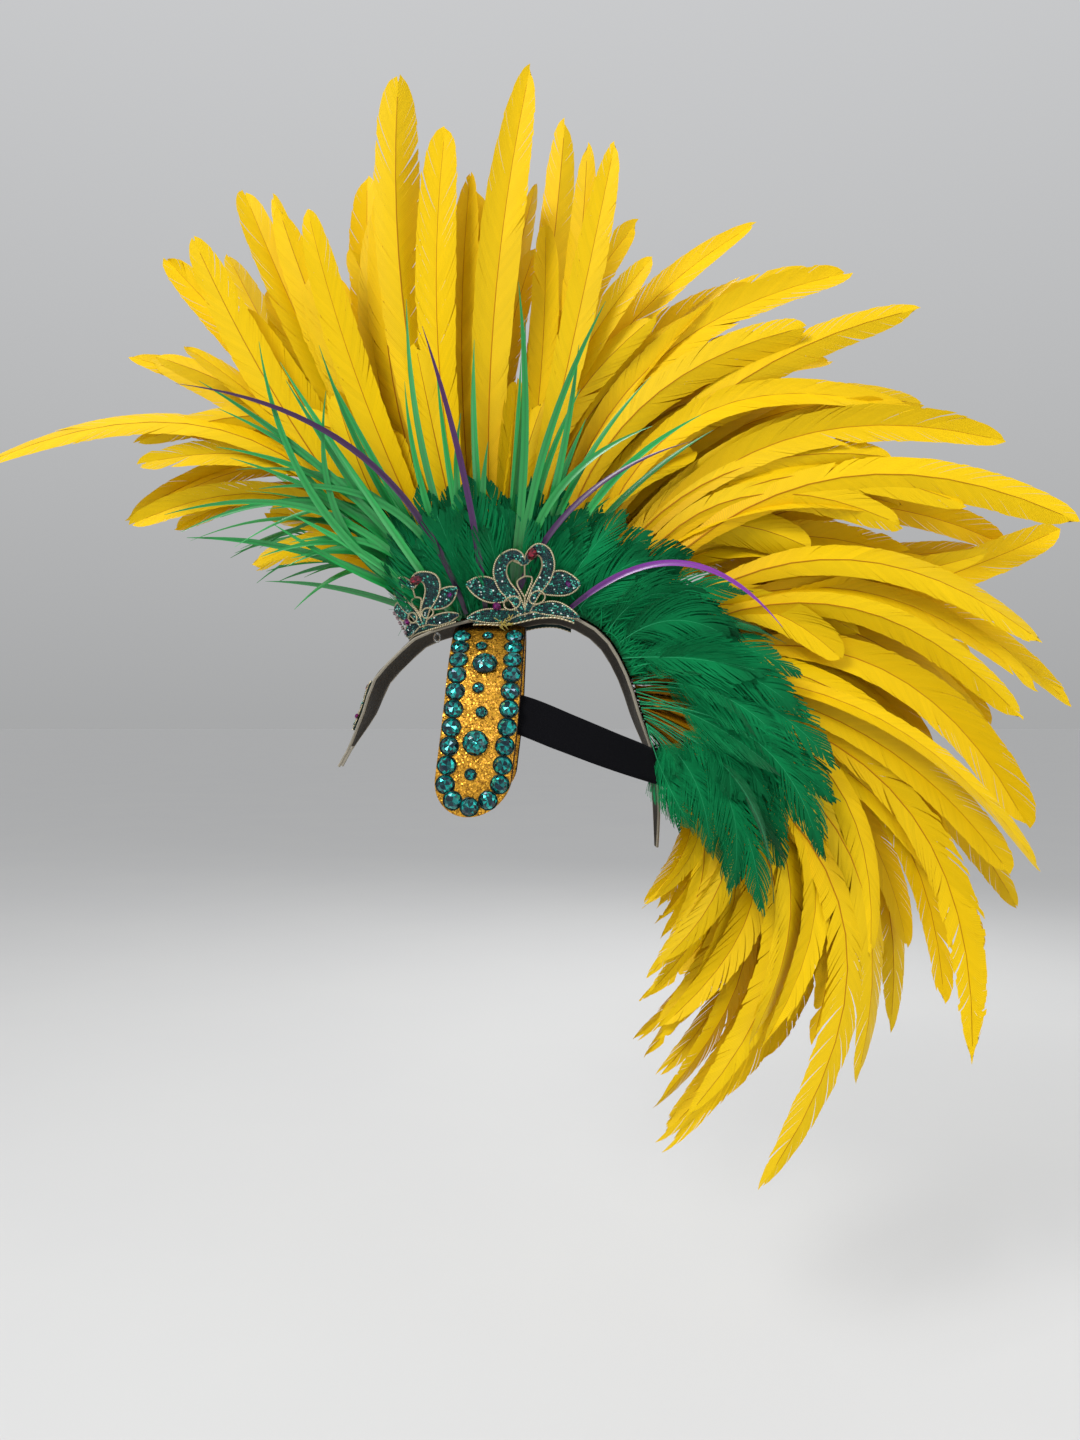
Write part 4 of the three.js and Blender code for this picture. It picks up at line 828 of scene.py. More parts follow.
def add_down(mesh, low, high, count, tall, rng):
    """Down: single barbs that rise from the backing along the band's normal, leant and curled at random. A
    barb is a two-column ribbon whose steps add (cos a, sin a), where a turns with the way covered, and it
    narrows evenly towards its tip."""
    share = crest_share(rng.uniform(low, high, count))
    lane = -rng.uniform(*DOWN_LANES, count)
    start = crown_point(share, lane, BAND_WALL + SEAT_GAP + ROOT_HEIGHT)
    _, _, _, nx, nz = crown_at(share)
    t = np.linspace(0, 1, DOWN_STEPS)
    lean, curl = (rng.normal(0, spread, count)[:, None] for spread in (DOWN_LEAN, DOWN_CURL))
    angle = np.arctan2(nz, nx)[:, None] + lean + curl * t
    length = tall * rng.uniform(*DOWN_LENGTHS, count)
    step = (length / (len(t) - 1))[:, None]
    x = start[:, :1] + np.cumsum(np.cos(angle) * step, axis=1) - np.cos(angle[:, :1]) * step
    z = start[:, 2:] + np.cumsum(np.sin(angle) * step, axis=1) - np.sin(angle[:, :1]) * step
    y = start[:, 1:2] - rng.uniform(*DOWN_ASIDE, count)[:, None] * length[:, None] * t
    half = DOWN_HALF * (1 - DOWN_TAPER * t)[:, None] * np.array([-1.0, 1.0])
    points = np.stack([
        x[..., None] - np.sin(angle)[..., None] * half, np.repeat(y[..., None], 2, axis=-1),
        z[..., None] + np.cos(angle)[..., None] * half,
    ], axis=-1)
    tone = rng.random(count)[:, None, None] + np.zeros((1, DOWN_STEPS, 2))
    mesh.grids(points, tone=tone, along=t[:, None] + np.zeros((count, DOWN_STEPS, 2)))


def add_biots(mesh, rows, lanes, width, inset, rng, tones=None):
    """Stripped quills: a narrow three-column ribbon, cupped and tapering to a point along a bowed line."""
    lines = feather_lines(rows, lanes, PLUME_REACH, inset)
    table = aside_table(lines, lanes)
    t = np.broadcast_to(np.linspace(0, 1, BIOT_STEPS), (len(rows), BIOT_STEPS))
    place, normal = on_lines(lines, t)
    half = (width / 2 * np.interp(t, *BIOT_SECTIONS.T))[..., None]
    turn, twist = (rng.uniform(-most, most, len(rows))[:, None] for most in (BIOT_TURN, BIOT_TWIST))
    roll = (turn + twist * t)[..., None]
    v = np.array([-1.0, 0.0, 1.0])
    flat = half * v * np.cos(roll)
    depth = look_up(table, t)[..., None] + half * (v * np.sin(roll) + BIOT_CUP * (1 - v * v))
    x, z = (place[..., None, k] + normal[..., None, k] * flat for k in range(2))
    tones = rng.random(len(rows)) if tones is None else tones
    tone = tones[:, None, None] + np.zeros((1, BIOT_STEPS, 3))
    mesh.grids(
        np.stack([x, depth, z], axis=-1), along=t[..., None] + np.zeros(3), tone=tone,
        comb=v + np.zeros(flat.shape),
    )


def biot_finish(name, colour, dark, low):
    """Satin quill skin: tone by biot from low up, a darker middle line, a root dark by its share."""
    paint = Finish(name, Roughness=0.36, Specular_IOR_Level=0.6, Coat_Weight=0.15)
    paint.set(Base_Color=paint.times(
        paint.mix(paint.spread(paint.attribute("along"), 0.0, 0.4), shaded(colour, dark), colour),
        paint.spread(paint.attribute("tone"), 0.0, 1.0, low, 1.25),
        paint.spread(paint.math("ABSOLUTE", paint.attribute("comb")), 0.0, 0.4, 0.72, 1.0),
    ))
    return paint.bump(paint.noise(900.0), 0.2, 0.0002).material


class HEADDRESS_OT_biots(bpy.types.Operator):
    """Adds the thin green and purple biots of both sides."""

    bl_idname = "headdress.biots"
    bl_label = "Biots"

    def execute(self, context):
        sizes = context.scene.headdress_feathers
        rng = np.random.default_rng(5)
        green = biot_finish("green_biot", sizes.leaf, 0.55, 0.7)
        violet = biot_finish("purple_biot", sizes.purple, 0.35, 0.22)
        copies = sizes.biot_copies * np.where(GREEN_BIOTS[:, 0] < BIOT_DENSE, 2, 1)
        for side, sign in SIDES.items():
            mesh = Mesh()
            rows = np.repeat(GREEN_BIOTS, copies, axis=0)
            later = np.concatenate([[False], np.diff(rows[:, 0]) == 0])
            rows = drawn_in(rows, np.where(later, rng.uniform(*BIOT_REACH, len(rows)), 1.0), PLUME_REACH)
            rows[:, 1:3] += np.where(later[:, None], rng.normal(0, BIOT_SWAY, (len(rows), 2)), 0.0)
            rows[:, 3] += np.where(later, rng.normal(0, BIOT_BOW, len(rows)), 0.0)
            shift = np.where(later, rng.normal(0, BIOT_ROOT_SPREAD, len(rows)), 0)
            rows[:, 0] = np.clip(rows[:, 0] + shift, *BIOT_ROOTS)
            lanes = -rng.permutation(np.linspace(*BIOT_LANES, len(rows)))
            add_biots(mesh, rows, lanes, GREEN_BIOT_WIDTH, ROOT_HEIGHT, rng)
            mesh.mirror(sign)
            mesh.make(f"green_biots_{side}", green, "green_feather")
            mesh = Mesh()
            lanes = np.full(len(PURPLE_BIOTS), PURPLE_LANE)
            add_biots(mesh, PURPLE_BIOTS, lanes, PURPLE_BIOT_WIDTH, PURPLE_HEIGHT, rng, PURPLE_TONES)
            mesh.mirror(sign)
            nodes = [f"purple_biot_{side}_{i}" for i in range(1, len(PURPLE_BIOTS) + 1)]
            mesh.make(f"purple_biots_{side}", violet, "purple_feather", nodes)
        return {"FINISHED"}


CROSS_HALF_LINE = np.column_stack([
    -CROSS_AHEAD - CROSS_SECTIONS[:, 2] * CROSS_SWEEP, -CROSS_SECTIONS[:, 0] * CROSS_HALF_SPAN,
    -CROSS_SECTIONS[:, 1] * CROSS_DROP,
])
CROSS = spline(np.vstack([CROSS_HALF_LINE[:0:-1], CROSS_HALF_LINE * [1, -1, 1]]), CROSS_STEPS)
CROSS_RUN = lengths(CROSS)
CROSS_LENGTH = CROSS_RUN[-1]
CROSS_SLOPE = unit(np.gradient(CROSS, axis=0))


def cross_point(distance, across, lift):
    """A point over the cross band: its line, moved across along X and out along the normal by the lift less a
    camber that grows with the square of the place across. Also returns the normal."""
    distance = np.clip(distance, 0, CROSS_LENGTH)
    line = place_on(CROSS, CROSS_RUN, distance)
    slope = place_on(CROSS_SLOPE, CROSS_RUN, distance)
    normal = unit(np.stack([np.zeros(slope.shape[:-1]), -slope[..., 2], slope[..., 1]], axis=-1))
    rise = np.asarray(lift - CROSS_CAMBER * (across / CROSS_HALF) ** 2)
    shift = np.asarray(across)[..., None] * np.array([1.0, 0.0, 0.0])
    return line + shift + normal * rise[..., None], normal


def felt_finish(name, colour):
    """Felt: soft clouds and fine fibres, paler at the cut edge."""
    paint = Finish(name, Roughness=0.95, Sheen_Weight=0.05, Specular_IOR_Level=0.1)
    inputs = {"Vector": paint.place(), "Scale": 1500.0, "Detail": 5.0, "Distortion": 1.2}
    fibre = paint.node("ShaderNodeTexNoise", inputs, "Fac")
    shade = paint.mix(paint.noise(60.0), shaded(colour, 0.7), shaded(colour, 1.35))
    shade = paint.times(shade, paint.spread(fibre, 0.3, 0.7, 0.7, 1.2))
    edge = paint.spread(paint.attribute("edge"), 0.93, 0.99)
    paint.set(Base_Color=paint.mix(edge, shade, shaded(colour, 2.6)))
    return paint.bump(fibre, 0.5, 0.0005).material


class HEADDRESS_OT_crown_band(bpy.types.Operator):
    """Adds the felt crown band, and gives its wired edges their finish."""

    bl_idname = "headdress.crown_band"
    bl_label = "Crown Band"

    def execute(self, context):
        colours = context.scene.headdress_bands
        ring = band_loop(FELT_COLUMNS, FELT_ROUND)
        u = np.linspace(0, 1, CROWN_ROWS)[:, None]
        half = crown_at(u)[2]
        points = crown_point(u, ring[:, 0] * half, BAND_WALL * ring[:, 1])
        mesh = Mesh()
        edge = np.abs(ring[:, 0]) + np.zeros(u.shape)
        mesh.grids(points[None], ring=True, caps=True, outward=True, edge=edge[None])
        felt = felt_finish("felt", colours.felt)
        mesh.make("crown_band_felt", felt, "felt", ["crown_band"])
        wire = Finish("wired_edge", Roughness=0.55, Specular_IOR_Level=0.4)
        grain = wire.noise(2200.0, 4.0)
        wire.set(Base_Color=wire.mix(grain, shaded(colours.binding, 0.55), shaded(colours.binding, 1.3)))
        wire.bump(grain, 0.6, 0.0003)
        for side in SIDES:
            dress(f"crown_wire_{side}", wire.material)
        return {"FINISHED"}


def dress(node, material):
    """Gives a CAD node its material."""
    mesh = frame["nodes"][node].data
    mesh.materials.clear()
    mesh.materials.append(material)


def glitter_finish(colour):
    """Glitter cloth: flakes as random cells, each with its own shade and tilt, and a dark cut edge."""
    paint = Finish("gold_glitter", Metallic=0.75, Roughness=0.34, Specular_IOR_Level=0.6)
    flakes = paint.cells(1150.0)
    grey = paint.node("ShaderNodeSeparateColor", {"Color": flakes}, 0)
    shade = paint.mix(grey, shaded(colour, 0.35), (0.98, colour[1] * 2.0, 0.04))
    edge = paint.spread(paint.attribute("edge"), 0.955, 0.975)
    paint.set(Base_Color=paint.mix(edge, shade, (0.02, 0.006, 0.003)))
    return paint.tilt(flakes, 0.75).material


class HEADDRESS_OT_cross_band(bpy.types.Operator):
    """Adds the gold glitter cross band with its round ends."""

    bl_idname = "headdress.cross_band"
    bl_label = "Cross Band"

    def execute(self, context):
        ring = band_loop(FELT_COLUMNS, FELT_ROUND)
        turn = np.linspace(0, math.pi, CROSS_ROWS)
        tip = 0.1
        distance = tip + (CROSS_LENGTH - 2 * tip) * (0.5 - 0.5 * np.cos(turn))[:, None]
        to_tip = np.minimum(np.minimum(distance, CROSS_LENGTH - distance), CROSS_HALF)
        half = np.sqrt(CROSS_HALF**2 - (CROSS_HALF - to_tip) ** 2)
        distance = np.broadcast_to(distance, (CROSS_ROWS, len(ring)))
        points, _ = cross_point(distance, ring[:, 0] * half, CROSS_WALL * ring[:, 1])
        mesh = Mesh()
        edge = ring[:, 0] * half / CROSS_HALF
        mesh.grids(points[None], ring=True, caps=True, outward=True, edge=edge[None])
        gold = glitter_finish(context.scene.headdress_bands.gold)
        mesh.make("cross_band_glitter", gold, "gold_glitter", ["cross_band"])
        return {"FINISHED"}


def stone_rings(sides, rings):
    """A cut stone's corners: rings of points at given radius, height and turn, with flat facets between.
    Rings of the same turn join by four-sided facets and rings half a step apart by triangles; the last ring
    is the table, shown in wedges as the facets below it are."""
    angle = np.arange(sides) * 2 * np.pi / sides
    points = np.concatenate([
        np.column_stack([
            r * np.cos(angle + turn * np.pi / sides), r * np.sin(angle + turn * np.pi / sides),
            np.full(sides, h),
        ]) for r, h, turn in rings
    ])
    i = np.arange(sides)
    j = (i + 1) % sides
    quads, threes = [], []
    for k in range(len(rings) - 1):
        a, b = k * sides, (k + 1) * sides
        if rings[k][2] == rings[k + 1][2]:
            quads.append(np.column_stack([a + i, a + j, b + j, b + i]))
        elif rings[k + 1][2]:
            threes += [np.column_stack([a + i, a + j, b + i]), np.column_stack([a + j, b + j, b + i])]
        else:
            threes += [np.column_stack([a + i, b + j, b + i]), np.column_stack([a + i, a + j, b + j])]
    top = (len(rings) - 1) * sides
    points = np.vstack([points, [0.0, 0.0, rings[-1][1]]])
    threes.append(np.column_stack([top + i, top + j, np.full(sides, len(points) - 1)]))
    return points, [np.array([i[::-1]]), np.concatenate(quads), np.concatenate(threes)]


def brilliant(diameter, height, sides=10):
    """A round stone: foot, girdle, one ring of facets and the table, as shares of radius and height."""
    r = diameter / 2
    rings = [(r * 0.94, 0.0, 0), (r, 0.22 * height, 0), (r * 0.83, 0.62 * height, 1), (r * 0.56, height, 0)]
    return stone_rings(sides, rings)


def checker(diameter, height, sides=14):
    """A big round stone whose rings of facets run up to a small table, as shares of radius and height."""
    r = diameter / 2
    return stone_rings(sides, [
        (r * 0.95, 0.0, 0), (r, 0.2 * height, 0), (r * 0.86, 0.55 * height, 1),
        (r * 0.64, 0.8 * height, 0), (r * 0.4, 0.94 * height, 1), (r * 0.17, height, 0),
    ])


def add_stones(mesh, shape, centres, axes, rng):
    """Sets copies of a stone at the centres, turned to their axes (stones, 3, 3)."""
    corners, faces = shape
    points = centres[:, None, :] + np.einsum("kc,mcd->mkd", corners, axes)
    offset = np.arange(len(centres)) * len(corners)
    copies = [(face[None] + offset[:, None, None]).reshape(-1, face.shape[1]) for face in faces]
    mesh.solid(points, copies, rng)


def cup_ring(diameter, height):
    """Rim of a setting: a small rounded wall round the stone's foot."""
    r = diameter / 2
    rings = [(r + 0.5, 0.0, 0), (r + 0.5, height, 0), (r + 0.2, height + 0.2, 0), (r - 0.25, height, 0)]
    return stone_rings(16, rings)


def gem_finish(name, bright, deep):
    """Foil-backed stone: each facet has its own tilt, and its own random share of the bright and the deep
    colour, which is painted reflection standing in for light thrown back through the facets by the foil.
    """
    paint = Finish(name, Roughness=0.07, Metallic=0.55, Specular_IOR_Level=0.5, Coat_Weight=0.6)
    facet = paint.attribute("facet")
    # Painted reflection: each facet's random share of deep and bright colour stands in for light the foil
    # throws back.
    shade = paint.mix(paint.math("POWER", paint.spread(facet, 0.3, 0.95), 1.6), deep, bright)
    shade = paint.times(shade, paint.spread(paint.noise(300.0), 0.3, 0.7, 0.75, 1.3))
    paint.set(Base_Color=shade, Coat_Roughness=0.03)
    spark = paint.node("ShaderNodeTexWhiteNoise", {"W": facet}, "Color", noise_dimensions="1D")
    return paint.tilt(spark, 0.5).material


def on_cross(distance, across, diameter):
    """Centres and axes of stones that sit on the cross band's left side: X, along the band, and its normal.
    A stone's foot lies over the bend by its diameter squared over eight times the bend's radius."""
    distance, across = np.atleast_1d(distance).astype(float), np.atleast_1d(across).astype(float)
    lift = CROSS_WALL + STONE_GAP + diameter**2 / 8 / CROSS_TIGHTEST_BEND
    centres, normal = cross_point(distance, across, lift)
    first = np.broadcast_to([1.0, 0.0, 0.0], normal.shape)
    second = np.stack([np.zeros(len(normal)), normal[:, 2], -normal[:, 1]], axis=-1)
    return centres, np.stack([first, second, normal], axis=1)


def edge_row(count):
    """The U-shaped row: down one edge, round the tip on a half circle, up the other, in even steps."""
    radius = CROSS_HALF - EDGE_INSET
    straight = CROSS_LENGTH / 2 - EDGE_START - CROSS_HALF
    bend = math.pi * radius
    along = np.linspace(0, 2 * straight + bend, count)
    angle = np.clip((along - straight) / radius, 0, math.pi)
    past = np.maximum(along - straight - bend, 0)
    before = np.maximum(straight - along, 0)
    distance = CROSS_HALF - radius * np.sin(angle) + before + past
    return distance, -radius * np.cos(angle)


class HEADDRESS_OT_stones(bpy.types.Operator):
    """Adds the cut stones of the cross band, with their settings."""

    bl_idname = "headdress.stones"
    bl_label = "Stones"

    def execute(self, context):
        sizes = context.scene.headdress_stones
        rng = np.random.default_rng(3)
        teal = gem_finish("teal_stone", sizes.teal, sizes.depth)
        metal = Finish("setting", Metallic=1.0, Roughness=0.32)
        metal.set(Base_Color=metal.mix(metal.noise(500.0), (0.004, 0.012, 0.014), (0.05, 0.07, 0.06)))
        edge = sizes.edge_diameter / MM
        distance, across = edge_row(EDGE_STONES)
        for side, sign in SIDES.items():
            row, middle, rims = Mesh(), Mesh(), Mesh()
            centres, axes = on_cross(distance, across, edge)
            add_stones(row, brilliant(edge, EDGE_HEIGHT), centres, axes, rng)
            add_stones(rims, cup_ring(edge, EDGE_RIM), centres, axes, rng)
            for down, sideways, big in CENTRE_STONES:
                cut, (diameter, height) = (checker, BIG_STONE) if big else (brilliant, SMALL_STONE)
                centres, axes = on_cross(CROSS_LENGTH / 2 * (1 - down), sideways * CROSS_HALF, diameter)
                add_stones(middle, cut(diameter, height), centres, axes, rng)
                add_stones(rims, cup_ring(diameter, CENTRE_RIM), centres, axes, rng)
            for made in (row, middle, rims):
                made.mirror(sign)
            nodes = [f"centre_stone_{side}_{i}" for i in range(1, len(CENTRE_STONES) + 1)]
            row.make(f"edge_stones_{side}_cut", teal, "teal_stone", [f"edge_stones_{side}"], smooth=False)
            middle.make(f"centre_stones_{side}", teal, "teal_stone", nodes, smooth=False)
            rims.make(f"settings_{side}", metal.material, "teal_stone", smooth=False)
        return {"FINISHED"}


STRAP_BACK = float(
    crown_point(crown_share(lambda x, z: (x > 0) & (z < -STRAP_BACK_DROP)), 0.0, BAND_WALL)[0]
) + STRAP_GAP
strap_half = np.column_stack([
    STRAP_SECTIONS[:, 0] * STRAP_BACK, -STRAP_SECTIONS[:, 1] * CROSS_HALF_SPAN,
    -STRAP_FRONT_DROP - STRAP_SECTIONS[:, 2] * (STRAP_BACK_DROP - STRAP_FRONT_DROP),
])
STRAP = spline(np.vstack([
    strap_half, [(STRAP_BACK, 0.0, -STRAP_BACK_DROP)], strap_half[::-1] * [1, -1, 1],
]), STRAP_STEPS)
STRAP_RUN = lengths(STRAP)


class HEADDRESS_OT_strap(bpy.types.Operator):
    """Adds the velvet back strap, and gives its slider its finish."""

    bl_idname = "headdress.strap"
    bl_label = "Strap"

    def execute(self, context):
        ring = band_loop(STRAP_COLUMNS, STRAP_ROUND)
        line = place_on(STRAP, STRAP_RUN, np.linspace(0, STRAP_RUN[-1], STRAP_ROWS))
        along = unit(np.gradient(line, axis=0))
        flat = unit(np.stack([along[:, 1], -along[:, 0], np.zeros(len(along))], axis=-1))
        lean = flat * math.cos(STRAP_LEAN) + np.array([0.0, 0.0, math.sin(STRAP_LEAN)])
        across = unit(np.cross(along, lean))
        outward = unit(np.cross(across, along))
        points = line[:, None] + across[:, None] * (ring[:, :1] * STRAP_HALF)
        points = points + outward[:, None] * (ring[:, 1:] * STRAP_WALL)
        mesh = Mesh()
        mesh.grids(points[None], ring=True, caps=True, outward=True)
        black = context.scene.headdress_bands.black
        velvet = Finish("velvet", Roughness=1.0, Specular_IOR_Level=0.05)
        velvet.set(Sheen_Weight=0.35, Sheen_Roughness=0.35, Sheen_Tint=(0.12, 0.12, 0.14))
        pile = velvet.noise(1800.0, 4.0)
        velvet.set(Base_Color=velvet.mix(pile, shaded(black, 0.5), shaded(black, 1.8)))
        velvet.bump(pile, 0.4, 0.0004)
        mesh.make("back_strap_velvet", velvet.material, "black_velvet", ["back_strap"])
        gloss = Finish("gloss_black", Roughness=0.16, Specular_IOR_Level=0.6, Coat_Weight=0.6)
        gloss.set(Base_Color=gloss.mix(gloss.noise(240.0), (0.003, 0.003, 0.003), (0.012, 0.012, 0.013)))
        gloss.bump(gloss.noise(500.0), 0.05, 0.0003)
        dress("strap_slider", gloss.material)
        return {"FINISHED"}


BALL = np.array([
    (0, 0, 1), (0.894, 0, 0.447), (0.276, 0.851, 0.447), (-0.724, 0.526, 0.447), (-0.724, -0.526, 0.447),
    (0.276, -0.851, 0.447), (0.724, 0.526, -0.447), (-0.276, 0.851, -0.447), (-0.894, 0, -0.447),
    (-0.276, -0.851, -0.447), (0.724, -0.526, -0.447), (0, 0, -1),
])
BALL_FACES = np.array([
    (0, 1, 2), (0, 2, 3), (0, 3, 4), (0, 4, 5), (0, 5, 1), (1, 6, 2), (2, 7, 3), (3, 8, 4), (4, 9, 5),
    (5, 10, 1), (2, 6, 7), (3, 7, 8), (4, 8, 9), (5, 9, 10), (1, 10, 6), (6, 11, 7), (7, 11, 8), (8, 11, 9),
    (9, 11, 10), (10, 11, 6),
])


def add_beads(mesh, centres, radius, rng):
    """Small balls of twenty faces with slightly uneven sizes."""
    size = radius * rng.uniform(*BEAD_SIZES, len(centres))
    points = centres[:, None, :] + BALL * size[:, None, None]
    faces = (BALL_FACES[None] + (np.arange(len(centres)) * len(BALL))[:, None, None]).reshape(-1, 3)
    tone = rng.random(len(centres))[:, None] + np.zeros(len(BALL))
    mesh.add(points, [faces], tone=tone)


def stroke_slab(centre, half, thick):
    """A stroke's rounded section carried along its centre line in the motif's plane; its two rim lines, just
    inside its edges; and its normals, a quarter turn of its slope."""
    run = unit(np.gradient(centre, axis=0))
    normal = np.column_stack([-run[:, 1], run[:, 0]])
    loop = np.array([(-1, 0), (0, 0), (1, 0), (1.0, 0.6), (0.6, 1.0), (0, 1.1), (-0.6, 1.0), (-1.0, 0.6)])
    flat = centre[:, None] + normal[:, None] * (loop[:, :1] * half[:, None, None])
    slab = np.concatenate([flat, (thick * loop[:, 1] + np.zeros((len(centre), 1)))[..., None]], -1)
    edges = [
        np.column_stack([
            centre + normal * (side * half * RIM_INSET)[:, None], np.full(len(centre), thick * 0.8),
        ])
        for side in (-1, 1)
    ]
    return slab, edges, normal


def bead_rows(centre, half, normal, thick, bead, rng):
    """Rows of beads along a stroke, as many as fit between its rims, every second row moved by half a bead;
    the outer rows lie lower by the square of their place across."""
    pitch = bead * BEAD_PITCH
    rows = max(1, int(half.max() * 2 / pitch) - 1)
    total = lengths(centre)
    table = np.column_stack([centre, normal, half])
    made = []
    for k in range(rows):
        share = (k + 0.5) / rows * 2 - 1
        spot = place_on(table, total, np.arange(bead * (0.5 + (k % 2) / 2), total[-1], pitch))
        spot = spot[spot[:, 4] * 2 > bead * 0.9]
        aside = spot[:, 2:4] * (share * 0.84 * spot[:, 4:5])
        place = spot[:, :2] + aside + rng.normal(0, BEAD_JITTER, (len(spot), 2))
        height = thick * (1.0 - 0.12 * share**2) + rng.normal(0, BEAD_LIFT_JITTER, len(spot))
        made.append(np.column_stack([place, height]))
    return made


def motif_shapes(width, height, bead, rng):
    """The motif in its own plane, as (x, y, z): slabs, rim lines and bead places."""
    slabs, rims, beads = [], [], []
    scale = np.array([width / 2, height])

    def stroke(centre, half, thick):
        """Adds a stroke's slab, its two rims and its beads."""
        slab, edges, normal = stroke_slab(centre, half, thick)
        slabs.append(slab)
        rims.extend(edges)
        beads.extend(bead_rows(centre, half, normal, thick, bead, rng))

    t = np.linspace(0, 1, 26)
    angle = np.linspace(0, 2 * np.pi, 25)
    for side in (-1, 1):
        turn = scale * [side, 1]
        neck = spline(NECK * [*turn, height], 56)
        stroke(neck[:, :2], neck[:, 2] / 2, MOTIF_WALL * 1.3)
        for x, y, tip_x, tip_y, spread in WING_LEAVES:
            root, tip = np.array([x, y]) * turn, np.array([tip_x, tip_y]) * turn
            half = spread * height / 2 * np.sin(np.pi * np.clip(t, 0.03, 0.985) ** 1.05) ** 0.7
            stroke(root + (tip - root) * t[:, None], np.maximum(half, 0.3), MOTIF_WALL)
        x, y, wide, tall = MOTIF_CELL
        cell = np.column_stack([x + wide * np.cos(angle), y + tall * np.sin(angle)]) * turn
        rims.append(np.column_stack([cell, np.full(len(cell), MOTIF_WALL * 1.45)]))
    bar = MOTIF_BAR[0] * (1 - t[:, None]) + MOTIF_BAR[1] * t[:, None]
    stroke(bar * scale, np.full(len(bar), 0.05 * height), MOTIF_WALL * 0.8)
    for line in MOTIF_RIMS:
        ends = np.array(line) * scale
        curve = spline(ends, 16) if len(line) > 2 else np.linspace(*ends, 12)
        rims.append(np.column_stack([curve, np.full(len(curve), MOTIF_WALL * 0.9)]))
    return slabs, rims, np.concatenate(beads)


def seat_stone(mesh, shape, spot, place, sign, rng):
    """Moves a cut stone to its spot in the motif's plane and carries its corners onto the headdress."""
    corners, faces = shape
    mesh.solid(mirrored(place(*(corners + spot).T), sign), faces, rng)


